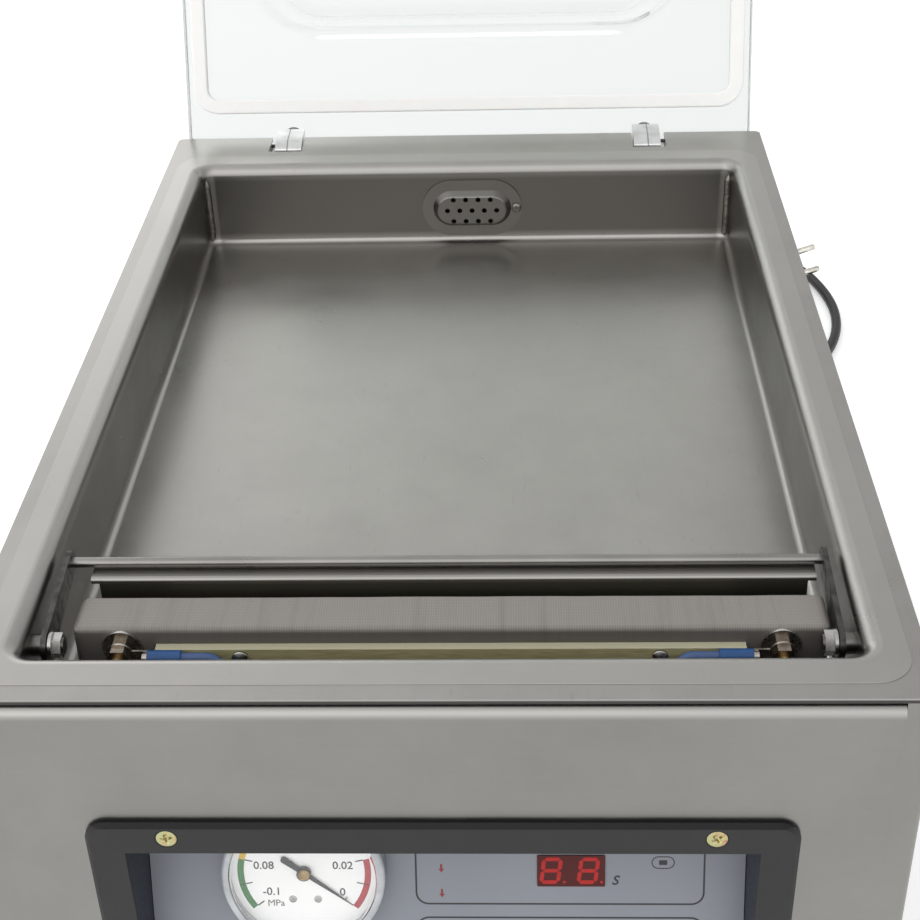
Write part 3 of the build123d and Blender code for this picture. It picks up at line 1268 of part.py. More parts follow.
with BuildPart() as pump_motor:
    with BuildSketch(along_x(MOTOR_TAIL, PUMP_Y, MOTOR_Z)):
        Circle(MOTOR_R)
        with PolarLocations(MOTOR_R, MOTOR_FINS):
            Rectangle(2 * MOTOR_FIN_H, MOTOR_FIN_W)
    extrude(amount=MOTOR_L)
    with BuildSketch(Plane.XY.offset(SKID_TOP)):
        with Locations(((MOTOR_TAIL + PUMP_FACE) / 2, PUMP_Y)):
            with GridLocations(MOTOR_L / 2, 1, 2, 1):
                Rectangle(MOTOR_FOOT_L, MOTOR_FOOT_W)
    extrude(amount=MOTOR_R / 2)
    with BuildSketch(along_x(MOTOR_TAIL, PUMP_Y, MOTOR_Z)):
        Circle(MOTOR_R)
        Circle(MOTOR_R - COWL_T, mode=Mode.SUBTRACT)
    extrude(amount=-COWL_L)
    with BuildSketch(along_x(MOTOR_TAIL - COWL_L, PUMP_Y, MOTOR_Z)):
        Circle(MOTOR_R)
        with PolarLocations(MOTOR_R / 2, MOTOR_FINS // 2):
            Rectangle(MOTOR_R / 2, VENT_W, mode=Mode.SUBTRACT)
    extrude(amount=COWL_T)
    with BuildSketch(along_x(MOTOR_TAIL, PUMP_Y, MOTOR_Z)):
        Circle(SHAFT_R)
    extrude(amount=-FAN_L - FAN_GAP)

with BuildPart() as motor_fan:
    with BuildSketch(along_x(FAN_X, PUMP_Y, MOTOR_Z)):
        Circle(FAN_HUB_R)
        with PolarLocations((FAN_R + SHAFT_R) / 2, FAN_BLADES):
            Rectangle(FAN_R - SHAFT_R, FAN_BLADE_T)
        Circle(SHAFT_R + FIT, mode=Mode.SUBTRACT)
    extrude(amount=-FAN_L)

with BuildPart() as transformer:
    with BuildSketch(along_y(TRAFO_X, TRAFO_Y - TRAFO_STACK / 2, BASE_TOP + TRAFO_H / 2)):
        Rectangle(TRAFO_L, TRAFO_H)
    extrude(amount=TRAFO_STACK)
    with BuildSketch(along_y(TRAFO_X, TRAFO_Y - TRAFO_COIL / 2, BASE_TOP + TRAFO_H / 2)):
        RectangleRounded(TRAFO_L - 2 * TRAFO_LEG, TRAFO_H - 2 * TRAFO_LEG, FLOOR_R)
    extrude(amount=TRAFO_COIL)

with BuildPart() as valve_block:
    with BuildSketch(Plane.XY.offset(BASE_TOP)):
        with Locations((VALVE_X, VALVE_Y)):
            RectangleRounded(VALVE_L, VALVE_W, BEND_R)
    extrude(amount=VALVE_H)
    with BuildSketch(Plane.XY.offset(BASE_TOP + VALVE_H)):
        with Locations((VALVE_X, VALVE_Y)):
            with GridLocations(VALVE_L / 2, 1, 2, 1):
                Circle(SOLENOID_R)
    extrude(amount=SOLENOID_H)

ELBOW_Y = CHAMBER_REAR + TUB_T + PORT_OUT
ELBOW_END = SUCTION_Z - PORT_BEND_R - PORT_DOWN
HOSE_START = PUMP_Y + PUMP_W / 2 + INLET_L - HOSE_LAP

with BuildPart() as vacuum_hose:
    hose_points = [
        (PUMP_X, HOSE_START, INLET_Z),
        (PUMP_X, ELBOW_Y, INLET_Z),
        (SUCTION_X, ELBOW_Y, INLET_Z),
        (SUCTION_X, ELBOW_Y, ELBOW_END + HOSE_LAP),
    ]
    with BuildLine() as hose_route:
        FilletPolyline(*hose_points, radius=bend_radii(hose_points))
    with BuildSketch(along_y(*hose_points[0])):
        Circle(HOSE_R)
        Circle(PORT_R + FIT, mode=Mode.SUBTRACT)
    sweep(path=hose_route.line)

# Mains cord: gland, free stretches, coil with its tie, plug
with BuildPart() as cord_gland:
    with BuildSketch(along_y(GLAND_X, HALF_D - SHEET - GLAND_INSIDE, GLAND_Z)):
        Circle(GLAND_NECK_R)
    extrude(amount=GLAND_INSIDE + SHEET)
    with BuildSketch(along_y(GLAND_X, HALF_D, GLAND_Z)):
        Circle(GLAND_RIM_R)
    extrude(amount=GLAND_RIM_T)
    with BuildSketch(along_y(GLAND_X, HALF_D + GLAND_RIM_T, GLAND_Z)):
        Circle(GLAND_NECK_R)
    with BuildSketch(along_y(GLAND_X, HALF_D + GLAND_RIM_T + GLAND_L, GLAND_Z)):
        Circle(GLAND_TIP_R)
    loft()
    with BuildSketch(along_y(GLAND_X, HALF_D - SHEET - GLAND_INSIDE, GLAND_Z)):
        Circle(CORD_R + FIT)
    extrude(amount=GLAND_INSIDE + SHEET + GLAND_RIM_T + GLAND_L, mode=Mode.SUBTRACT)

COIL_RUN = COIL_Y - COIL_R
COIL_TOP = COIL_Z + COIL_PITCH
CORD_Z = CORD_R + TABLE_GAP
PLUG_DIR = Vector(1, 0, 0).rotate(Axis.Y, -PLUG_TILT).rotate(Axis.Z, PLUG_TURN)
PLUG_UP = Vector(0, 0, 1).rotate(Axis.Y, -PLUG_TILT).rotate(Axis.Z, PLUG_TURN)
PLUG_UP = PLUG_UP.rotate(Axis((0, 0, 0), PLUG_DIR), -PLUG_ROLL)
PLUG_RIM = (PLUG_R - PLUG_EDGE_R) * cos(radians(PLUG_TILT))
PLUG_LEAN = (PLUG_FRONT_L - PLUG_EDGE_R) * sin(radians(PLUG_TILT))
PLUG_CENTRE = Vector(*PLUG_FACE, TABLE_GAP + PLUG_EDGE_R + PLUG_RIM + PLUG_LEAN)
PLUG_TAIL = PLUG_CENTRE - PLUG_DIR * (PLUG_L + PLUG_TAIL_L)

cord_inlet = cord_tube(
    [
        (GLAND_X, HALF_D, GLAND_Z),
        (GLAND_X, 279.5, GLAND_Z),
        (-107, 316, 43),
        (-92, 338, 20),
        (-58, 347, 8),
        (-12, COIL_RUN, COIL_Z),
        (COIL_X - 2 * CORD_R, COIL_RUN, COIL_Z),
    ],
    "cord_inlet",
)

mains_cord = cord_tube(
    [
        (COIL_X + 2 * CORD_R, COIL_RUN, COIL_TOP),
        (85, COIL_RUN, COIL_TOP),
        (122, 352, 8.5),
        (160, 363, CORD_Z + 0.4),
        (198, 382, CORD_Z),
        (232, 410, CORD_Z),
        (257, 443, CORD_Z),
        (273, 479, CORD_Z),
        (279, 517, CORD_Z),
        (275, 556, CORD_Z),
        (263, 593, CORD_Z),
        (240, 623, CORD_Z),
        (207, 643, CORD_Z),
        (170, 648, CORD_Z),
        (130, 646, CORD_Z),
        (100, 625.5, CORD_Z),
        (90.4, 591.5, CORD_Z),
        (105.2, 559.5, CORD_Z),
        (137.5, 544, CORD_Z),
        tuple(PLUG_TAIL - PLUG_DIR * 15),
        tuple(PLUG_TAIL),
    ],
    "mains_cord",
)


def coil_station(quarter):
    """Point and direction of the coil after so many quarter turns: in, up and out again."""
    half = COIL_QUARTERS / 2
    angle = (quarter - 1) * pi / 2
    inward = half - abs(quarter - half)
    radius = COIL_R - COIL_PITCH * inward / 4
    climb = min(max((quarter - half + 1) / 2, 0), 1)
    point = Vector(
        COIL_X + radius * cos(angle), COIL_Y + radius * sin(angle), COIL_Z + COIL_PITCH * climb
    )
    drift = 0 if quarter in (0, half, COIL_QUARTERS) else (1 if quarter > half else -1)
    swing = drift * COIL_PITCH / (2 * pi)
    rise = COIL_PITCH / (pi / 2) * 1.2 if quarter == half else 0
    heading = Vector(
        swing * cos(angle) - radius * sin(angle), swing * sin(angle) + radius * cos(angle), rise
    )
    return point, heading.normalized()


with BuildPart() as cord_coil:
    with BuildLine() as coil_route:
        stations = [coil_station(quarter) for quarter in range(COIL_QUARTERS + 1)]
        Line(stations[0][0] - stations[0][1] * 2 * CORD_R, stations[0][0])
        for (start, lead), (end, trail) in zip(stations, stations[1:]):
            span = end - start
            both = lead + trail
            spread = 2 * (1 - lead.dot(trail))
            reach = (-span.dot(both) + sqrt(span.dot(both) ** 2 + spread * span.dot(span))) / spread
            joint = (start + end + (lead - trail) * reach) / 2
            TangentArc(start, joint, tangent=lead)
            TangentArc(joint, end, tangent=(end - trail * reach) - (start + lead * reach))
        Line(stations[-1][0], stations[-1][0] + stations[-1][1] * 2 * CORD_R)
    with BuildSketch(Plane(origin=coil_route.line @ 0, z_dir=coil_route.line % 0)):
        Circle(CORD_R)
    sweep(path=coil_route.line)

coil_length = coil_route.wire().length
coil_points = [coil_route.line @ (step / 400) for step in range(401)]
coil_gap = min(
    (first - second).length - 2 * CORD_R
    for index, first in enumerate(coil_points)
    for second in coil_points[index + 40 :]
)
coil_share = cord_coil.part.volume / (pi * CORD_R**2 * coil_length)
print("cord_coil length", round(coil_length), "gap", round(coil_gap, 2), "volume", round(coil_share, 3))

TIE_OUTER = COIL_R - COIL_PITCH / 2 + CORD_R + TIE_GAP
TIE_INNER = COIL_R - COIL_PITCH * 3 / 2 - CORD_R - TIE_GAP
TIE_LOW = COIL_Z - CORD_R - TIE_GAP
TIE_HIGH = COIL_TOP + CORD_R + TIE_GAP

with BuildPart() as cord_tie:
    with BuildSketch(along_x(COIL_X - TIE_W / 2, COIL_Y, 0)):
        with Locations(((TIE_OUTER + TIE_INNER) / 2, (TIE_LOW + TIE_HIGH) / 2)):
            RectangleRounded(
                TIE_OUTER - TIE_INNER + 2 * TIE_T, TIE_HIGH - TIE_LOW + 2 * TIE_T, CORD_R
            )
            RectangleRounded(
                TIE_OUTER - TIE_INNER, TIE_HIGH - TIE_LOW, CORD_R - TIE_T, mode=Mode.SUBTRACT
            )
    extrude(amount=TIE_W)

plug_plane = Plane(origin=PLUG_CENTRE, x_dir=PLUG_UP, z_dir=PLUG_DIR)

with BuildPart() as mains_plug:
    with BuildSketch(plug_plane):
        Circle(PLUG_R)
    extrude(amount=-PLUG_FRONT_L)
    fillet(mains_plug.edges(), PLUG_EDGE_R)
    with BuildSketch(plug_plane.offset(-PLUG_FRONT_L)):
        Circle(PLUG_R - 2 * PLUG_EDGE_R)
    with BuildSketch(plug_plane.offset(-PLUG_L)):
        Circle(PLUG_GRIP_R)
    loft()
    with BuildSketch(plug_plane.offset(-PLUG_L)):
        Circle(PLUG_GRIP_R / 2 + CORD_R / 2)
    with BuildSketch(plug_plane.offset(-PLUG_L - PLUG_TAIL_L)):
        Circle(PLUG_TAIL_R)
    loft()
    with BuildSketch(plug_plane):
        with GridLocations(PLUG_PIN_GAP, 1, 2, 1):
            Circle(PLUG_PIN_R)
    extrude(amount=-PLUG_PIN_SUNK, mode=Mode.SUBTRACT)

with BuildPart() as plug_pins:
    with BuildSketch(plug_plane.offset(-PLUG_PIN_SUNK)):
        with GridLocations(PLUG_PIN_GAP, 1, 2, 1):
            Circle(PLUG_PIN_R)
    extrude(amount=PLUG_PIN_SUNK + PLUG_PIN_L)
    fillet(plug_pins.faces().sort_by(Axis(PLUG_CENTRE, PLUG_DIR))[-2:].edges(), PLUG_PIN_R / 2)

keep(side_panel_left, "side_panel_left")
keep(side_panel_right, "side_panel_right")
keep(cord_inlet, "cord_inlet")
keep(mains_cord, "mains_cord")
for name, node in {
    "base_plate": base_plate,
    "rubber_feet": rubber_feet,
    "front_panel": front_panel,
    "rear_panel": rear_panel,
    "chamber_deck": chamber_deck,
    "suction_cover": suction_cover,
    "suction_screw": suction_screw,
    "clamp_rod": clamp_rod,
    "clamp_arms": clamp_arms,
    "clamp_nuts": clamp_nuts,
    "hinge_brackets": hinge_brackets,
    "hinge_pins": hinge_pins,
    "console_frame": console_frame,
    "console_screws": console_screws,
    "membrane_panel": membrane_panel,
    "display_window": display_window,
    "gauge_case": gauge_case,
    "gauge_dial": gauge_dial,
    "gauge_needle": gauge_needle,
    "gauge_lens": gauge_lens,
    "control_board": control_board,
    "pump_mounts": pump_mounts,
    "vacuum_pump": vacuum_pump,
    "pump_motor": pump_motor,
    "motor_fan": motor_fan,
    "transformer": transformer,
    "valve_block": valve_block,
    "vacuum_hose": vacuum_hose,
    "cord_gland": cord_gland,
    "cord_coil": cord_coil,
    "cord_tie": cord_tie,
    "mains_plug": mains_plug,
    "plug_pins": plug_pins,
}.items():
    keep(node.part, name)

for name, node in {
    "bag_rest": bag_rest,
    "seal_bar": seal_bar,
    "heating_band": heating_band,
    "seal_cloth": seal_cloth,
    "cloth_strips": cloth_strips,
    "strip_screws": strip_screws,
    "terminal_studs": terminal_studs,
    "terminal_nuts": terminal_nuts,
    "ring_terminals": ring_terminals,
    "terminal_sleeves": terminal_sleeves,
    "seal_leads": seal_leads,
    "lead_grommets": lead_grommets,
    "lift_rods": lift_rods,
    "lift_bushes": lift_bushes,
    "lift_cylinders": lift_cylinders,
}.items():
    keep(node.part.moved(Location((BAR_X, 0, 0))), name)

for name, node in {
    "lid": lid,
    "lid_gasket": lid_gasket,
    "press_bar_holder": press_bar_holder,
    "press_bar": press_bar,
    "hinge_arms": hinge_arms,
    "hinge_screws": hinge_screws,
}.items():
    keep(node.part.rotate(open_swing, LID_OPEN), name)
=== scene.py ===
"""Looks of the tabletop chamber vacuum sealer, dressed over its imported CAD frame.

Sizes are in millimetres about the middle of the cabinet's footprint, as in the part's source, and
at() turns them into the frame's metres. A finish measures in millimetres from the frame's origin:
across, depth (the front is minus) and height.
"""

from math import cos, hypot, pi, radians, sin

import bmesh
import bpy
from mathutils import Matrix, Vector, noise


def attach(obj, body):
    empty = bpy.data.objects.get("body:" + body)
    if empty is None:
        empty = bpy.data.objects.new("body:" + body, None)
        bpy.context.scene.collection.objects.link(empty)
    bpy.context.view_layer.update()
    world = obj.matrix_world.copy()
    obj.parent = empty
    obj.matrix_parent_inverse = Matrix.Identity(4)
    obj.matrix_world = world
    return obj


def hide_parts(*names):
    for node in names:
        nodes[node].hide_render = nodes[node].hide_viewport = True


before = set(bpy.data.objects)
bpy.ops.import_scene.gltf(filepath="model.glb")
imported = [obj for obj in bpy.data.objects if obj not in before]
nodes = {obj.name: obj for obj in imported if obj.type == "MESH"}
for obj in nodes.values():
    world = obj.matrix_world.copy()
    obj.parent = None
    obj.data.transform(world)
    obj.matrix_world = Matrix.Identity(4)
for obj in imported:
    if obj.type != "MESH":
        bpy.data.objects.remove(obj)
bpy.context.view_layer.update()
scene = bpy.context.scene
scene.view_settings.view_transform = "Standard"

MM = 1000            # millimetres in a metre
STAND_Y = 90.0       # the frame's origin lies this far behind the cabinet's middle


def at(x, y, z):
    """Frame point of a point in cabinet millimetres."""
    return Vector((x, y - STAND_Y, z)) / MM


def linear(text):
    """Linear colour of an sRGB hex."""
    shares = [int(text[i:i + 2], 16) / 255 for i in (1, 3, 5)]
    return [s / 12.92 if s <= 0.04045 else ((s + 0.055) / 1.055) ** 2.4 for s in shares] + [1.0]


# Camera: from the front and above, nearly over the middle, with a slight roll
CAMERA_AT = (0.0287, -0.7404, 0.6330)
YAW, PITCH, ROLL = radians(-2.49), radians(33.24), radians(1.78)
FOCAL_LENGTH, SENSOR_WIDTH = 64.92, 36.0
ahead = Vector((sin(YAW) * cos(PITCH), cos(YAW) * cos(PITCH), -sin(PITCH)))
level = Vector((cos(YAW), -sin(YAW), 0))
below = ahead.cross(level)
right = cos(ROLL) * level + sin(ROLL) * below
down = cos(ROLL) * below - sin(ROLL) * level
camera = bpy.data.objects.new("camera", bpy.data.cameras.new("camera"))
camera.data.lens = FOCAL_LENGTH
camera.data.sensor_width = SENSOR_WIDTH
camera.data.clip_start = 0.01
camera.matrix_world = Matrix.LocRotScale(
    Vector(CAMERA_AT), Matrix((right, -down, -ahead)).transposed().to_quaternion(), None
)
scene.collection.objects.link(camera)
scene.camera = camera


def add(tree, kind, sockets=None, output=0, **settings):
    """Add one shader node with its settings, values and links, and give one of its outputs. A hex
    text is a colour."""
    node = tree.nodes.new("ShaderNode" + kind)
    for key, value in settings.items():
        setattr(node, key, value)
    for key, value in (sockets or {}).items():
        if isinstance(value, bpy.types.NodeSocket):
            tree.links.new(value, node.inputs[key])
        else:
            node.inputs[key].default_value = linear(value) if isinstance(value, str) else value
    return node.outputs[output]


def finish(name, colour, rough, **sockets):
    """A new material, its tree and the object's coordinates in millimetres."""
    made = bpy.data.materials.new(name)
    made.use_nodes = True
    tree = made.node_tree
    skin = tree.nodes["Principled BSDF"].inputs
    skin["Base Color"].default_value = linear(colour)
    skin["Roughness"].default_value = rough
    for socket, value in sockets.items():
        skin[socket.replace("_", " ")].default_value = value
    spot = add(tree, "TexCoord", output="Object")
    mm = add(tree, "VectorMath", {0: spot, 1: (MM, MM, MM)}, operation="MULTIPLY")
    return made, tree, mm


def coat(made, colour, gloss=None, relief=None):
    """Link a finish's colour, roughness and relief to its shader, and give the finish."""
    tree = made.node_tree
    skin = tree.nodes["Principled BSDF"].inputs
    for socket, source in (("Base Color", colour), ("Roughness", gloss), ("Normal", relief)):
        if source is not None:
            tree.links.new(source, skin[socket])
    return made


# Pattern sizes in millimetres. Those called coarse are drawn larger than the real ones, to show
POLISH_LINE = 0.5    # coarse: the belt's grit leaves lines of about 0.1
ROLLED_LINE = 0.9    # coarse: rolling lines are about 0.2
HAND_SMUDGE = 48.0   # side of a hand
DECK_SMUDGE = 42.0   # fingers and wiping
DULL_SPOT = 4.0      # tarnish on small turned pieces
CAST_GRAIN = 0.8     # coarse: tumbling leaves pits of about 0.3
CAST_CLOUD = 7.0     # flow marks of the casting
MILLED_MARK = 0.7    # feed of the cutter
WIPE_HAIR = 1.2      # coarse: a wipe scratch is finer than 0.1
BLOOM = 8.0          # dusty patches on rubber
HANDLED = 22.0       # patches of tone on mouldings
CONSOLE_CLOUD = 26.0
CONSOLE_GRAIN = 0.7  # coarse: spark erosion leaves pits of about 0.2
CHROMATE_DRIFT = 2.4
FILM_CLOUD = 40.0
VELVET = 0.4         # coarse: the film's texture is about 0.1
THREAD = 0.9         # coarse: the cloth's threads lie about 0.3 apart
SCORCH = 3.0         # width of a scorched streak
FIBRE = 0.6          # bundle of glass fibre
COPPER_RUN = 1.8     # pitch of the board's tracks
ORANGE_PEEL = 1.8    # ripple of thick enamel
ENAMEL_PATCH = 30.0
NUT_STAIN = 2.0
INK_COVER = 0.9      # mesh marks of the printing screen, coarse
SEGMENT_HAZE = 1.5
RIM_STREAK = 6.0
GLOSS_WAVE = 9.0
FLOOR_CLOUD = 400.0

# Ranges of noise, height and depth that finishes turn on
NOISE_SPAN = {"From Min": 0.3, "From Max": 0.7}             # values that noise mostly takes
SEALING_LAND = {"From Min": 270.05, "From Max": 270.2}      # its height over the deck
WALL_FOOT = {"From Min": 227.0, "From Max": 231.0}          # painted shade darkens the drawn walls from here
WALL_HEAD = {"From Min": 262.0, "From Max": 268.0}          # and stops here
DECK_FRONT = {"From Min": -329.99, "From Max": -329.9}      # depth of the deck's front edge
SHUT_LINE = {"From Min": 269.1, "From Max": 269.7}          # height of the painted shade line on it
REST_LIP = {"From Min": 259.0, "From Max": 261.0}           # painted shade darkens the rest below this
FRAME_RECESS = {"From Min": -331.6, "From Max": -329.0}     # depth of the console's recess, painted darker as shade
FRAME_BEVEL = {"From Min": 213.2, "From Max": 213.7}        # height of its top bevel, painted darker as shade
CLOTH_SKIRT = {"From Min": 257.6, "From Max": 258.9}        # painted shade darkens the cloth below this
STRIP_TOP = {"From Min": 252.8, "From Max": 253.0}          # top face of the cloth strips, drawn paler
WASHER_FACE = {"From Min": -281.8, "From Max": -281.6}      # depth where nuts meet washers
ROLL_RUBBED = (263.0, 265.6, "#a9a8a4")                     # front's rolled edge: painted highlight where it faces the light
ARM_SEAM_X = 101.6   # parting line of each hinge arm, from the middle
LID_HALF_W = 160.5
UNCUT = 500.0        # past any piece: a moulded lens has no sawn edge

BLEND = {"output": 2, "data_type": "RGBA"}    # a mix of colours: share in 0, colours in 6 and 7


def satin_stainless(name, dark, pale, rough, run, rubbed=None):
    """Stainless sheet, belt-polished: faint close lines, drawn out along the axis whose share of the
    run is small, and slow smudges from hands. A painted highlight along an edge that faces the
    light has the height where it starts, the height where it is full, and its colour."""
    made, tree, mm = finish(name, pale, rough, Metallic=1.0)
    drawn = add(tree, "VectorMath", {0: mm, 1: run}, operation="MULTIPLY")
    line = add(tree, "TexNoise", {"Vector": drawn, "Scale": 1 / POLISH_LINE, "Detail": 2.0})
    smudge = add(tree, "TexNoise", {"Vector": mm, "Scale": 1 / HAND_SMUDGE, "Detail": 5.0,
                                    "Roughness": 0.6})
    soft = add(tree, "MapRange", {"Value": smudge, **NOISE_SPAN})
    fine = add(tree, "Math", {0: line, 1: 0.3}, operation="MULTIPLY")
    share = add(tree, "Math", {0: soft, 1: 0.7, 2: fine}, operation="MULTIPLY_ADD")
    tone = add(tree, "Mix", {0: share, 6: dark, 7: pale}, **BLEND)
    # Painted highlight: the tone turns paler up the edge, for the light it catches
    if rubbed:
        start, full, bright = rubbed
        height = add(tree, "SeparateXYZ", {0: mm}, output=2)
        worn = add(tree, "MapRange", {"Value": height, "From Min": start, "From Max": full})
        tone = add(tree, "Mix", {0: worn, 6: tone, 7: bright}, **BLEND)
    gloss = add(tree, "MapRange", {"Value": soft, "To Min": rough - 0.03, "To Max": rough + 0.04})
    relief = add(tree, "Bump", {"Height": line, "Distance": 0.0008 / MM, "Strength": 1.0})
    return coat(made, tone, gloss, relief)


def deck_stainless():
    """Drawn stainless deck: cold-rolled satin, greasy hand smudges, hairline scuffs, a paler
    sealing land where the gasket has rubbed it, painted shade darkening the drawn walls, and a
    painted dark shade line along the lower part of its front edge."""
    made, tree, mm = finish("drawn_satin_stainless", "#a3a19d", 0.3, Metallic=1.0)
    drawn = add(tree, "VectorMath", {0: mm, 1: (1, 0.02, 0.02)}, operation="MULTIPLY")
    line = add(tree, "TexNoise", {"Vector": drawn, "Scale": 1 / ROLLED_LINE, "Detail": 3.0})
    smudge = add(tree, "TexNoise", {"Vector": mm, "Scale": 1 / DECK_SMUDGE, "Detail": 6.0,
                                    "Roughness": 0.62})
    soft = add(tree, "MapRange", {"Value": smudge, **NOISE_SPAN})
    fine = add(tree, "Math", {0: line, 1: 0.25}, operation="MULTIPLY")
    share = add(tree, "Math", {0: soft, 1: 0.75, 2: fine}, operation="MULTIPLY_ADD")
    sheet = add(tree, "Mix", {0: share, 6: "#a09e9a", 7: "#adaba7"}, **BLEND)
    # Scuffs 2 mm wide and 11 mm long
    short = add(tree, "VectorMath", {0: mm, 1: (0.5, 0.09, 0.3)}, operation="MULTIPLY")
    scuff = add(tree, "TexNoise", {"Vector": short, "Scale": 1.0, "Detail": 4.0})
    mark = add(tree, "MapRange", {"Value": scuff, "From Min": 0.66, "From Max": 0.76,
                                  "To Max": 0.2})
    tone = add(tree, "Mix", {0: mark, 6: sheet, 7: "#7d7b77"}, **BLEND)
    height = add(tree, "SeparateXYZ", {0: mm}, output=2)
    land = add(tree, "MapRange", {"Value": height, **SEALING_LAND, "To Max": 0.35})
    tone = add(tree, "Mix", {0: land, 6: tone, 7: "#bab8b4"}, **BLEND)
    # Painted shade: the drawn walls are darkened between their foot and their head
    low = add(tree, "MapRange", {"Value": height, **WALL_FOOT})
    high = add(tree, "MapRange", {"Value": height, **WALL_HEAD, "To Min": 1.0, "To Max": 0.0})
    wall = add(tree, "Math", {0: low, 1: high}, operation="MULTIPLY")
    tone = add(tree, "Mix", {0: wall, 6: tone, 7: "#74726e"}, **BLEND)
    # Painted shade: the lower part of the deck's front edge is drawn nearly black, a shadow gap
    depth = add(tree, "SeparateXYZ", {0: mm}, output=1)
    edge = add(tree, "MapRange", {"Value": depth, **DECK_FRONT, "To Min": 0.85, "To Max": 0.0})
    under = add(tree, "MapRange", {"Value": height, **SHUT_LINE, "To Min": 1.0, "To Max": 0.0})
    shut = add(tree, "Math", {0: edge, 1: under}, operation="MULTIPLY")
    tone = add(tree, "Mix", {0: shut, 6: tone, 7: "#1f1e1d"}, **BLEND)
    gloss = add(tree, "MapRange", {"Value": soft, "To Min": 0.27, "To Max": 0.36})
    relief = add(tree, "Bump", {"Height": line, "Distance": 0.001 / MM, "Strength": 1.0})
    return coat(made, tone, gloss, relief)


def folded_rest():
    """Folded stainless rest: satin at its lip, rougher below it, with painted shade on the face
    behind the bar.
    """
    made, tree, mm = finish("shaded_rest_stainless", "#a3a19d", 0.32, Metallic=1.0)
    drawn = add(tree, "VectorMath", {0: mm, 1: (0.01, 1, 1)}, operation="MULTIPLY")
    line = add(tree, "TexNoise", {"Vector": drawn, "Scale": 1 / POLISH_LINE, "Detail": 2.0})
    clean = add(tree, "Mix", {0: line, 6: "#989692", 7: "#aaa8a4"}, **BLEND)
    height = add(tree, "SeparateXYZ", {0: mm}, output=2)
    # Painted shade on the face below the lip, in the gap behind the bar
    deep = add(tree, "MapRange", {"Value": height, **REST_LIP, "To Min": 1.0, "To Max": 0.0})
    tone = add(tree, "Mix", {0: deep, 6: clean, 7: "#5a5850"}, **BLEND)
    gloss = add(tree, "MapRange", {"Value": deep, "To Min": 0.3, "To Max": 0.55})
    return coat(made, tone, gloss)


def turned_metal(name, dull, bright, rough):
    """Turned or pressed metal, plain or plated: even, with dull spots a few millimetres wide."""
    made, tree, mm = finish(name, bright, rough, Metallic=1.0)
    spot = add(tree, "TexNoise", {"Vector": mm, "Scale": 1 / DULL_SPOT, "Detail": 4.0})
    share = add(tree, "MapRange", {"Value": spot, "From Min": 0.42, "From Max": 0.7})
    tone = add(tree, "Mix", {0: share, 6: bright, 7: dull}, **BLEND)
    gloss = add(tree, "MapRange", {"Value": share, "To Min": rough - 0.04, "To Max": rough + 0.12})
    return coat(made, tone, gloss)


def cast_aluminium():
    """Die-cast aluminium, tumbled: fine sandy grain and a thin dark parting line down each arm."""
    made, tree, mm = finish("tumbled_cast_aluminium", "#d2d2d2", 0.36, Metallic=1.0)
    grain = add(tree, "TexNoise", {"Vector": mm, "Scale": 1 / CAST_GRAIN, "Detail": 5.0})
    cloud = add(tree, "TexNoise", {"Vector": mm, "Scale": 1 / CAST_CLOUD, "Detail": 3.0})
    both = add(tree, "Math", {0: grain, 1: 0.5, 2: cloud}, operation="MULTIPLY_ADD")
    share = add(tree, "MapRange", {"Value": both, "From Min": 0.55, "From Max": 0.95})
    tone = add(tree, "Mix", {0: share, 6: "#d4d4d4", 7: "#ebebeb"}, **BLEND)
    across = add(tree, "Math", {0: add(tree, "SeparateXYZ", {0: mm})}, operation="ABSOLUTE")
    aside = add(tree, "Math", {0: across, 1: ARM_SEAM_X}, operation="SUBTRACT")
    near = add(tree, "Math", {0: aside}, operation="ABSOLUTE")
    seam = add(tree, "MapRange", {"Value": near, "From Min": 0.15, "From Max": 0.5,
                                  "To Min": 0.75, "To Max": 0.0})
    tone = add(tree, "Mix", {0: seam, 6: tone, 7: "#5f5f5f"}, **BLEND)
    gloss = add(tree, "MapRange", {"Value": grain, **NOISE_SPAN, "To Min": 0.3, "To Max": 0.44})
    relief = add(tree, "Bump", {"Height": grain, "Distance": 0.012 / MM, "Strength": 1.0})
    return coat(made, tone, gloss, relief)


def milled_aluminium():
    """Aluminium bar stock, milled: grey-white with close cutter marks across it."""
    made, tree, mm = finish("milled_aluminium", "#bcbec0", 0.34, Metallic=1.0)
    drawn = add(tree, "VectorMath", {0: mm, 1: (1, 0.04, 0.04)}, operation="MULTIPLY")
    mark = add(tree, "TexNoise", {"Vector": drawn, "Scale": 1 / MILLED_MARK, "Detail": 2.0})
    tone = add(tree, "Mix", {0: mark, 6: "#a4a6a8", 7: "#cacccd"}, **BLEND)
    relief = add(tree, "Bump", {"Height": mark, "Distance": 0.005 / MM, "Strength": 1.0})
    return coat(made, tone, relief=relief)


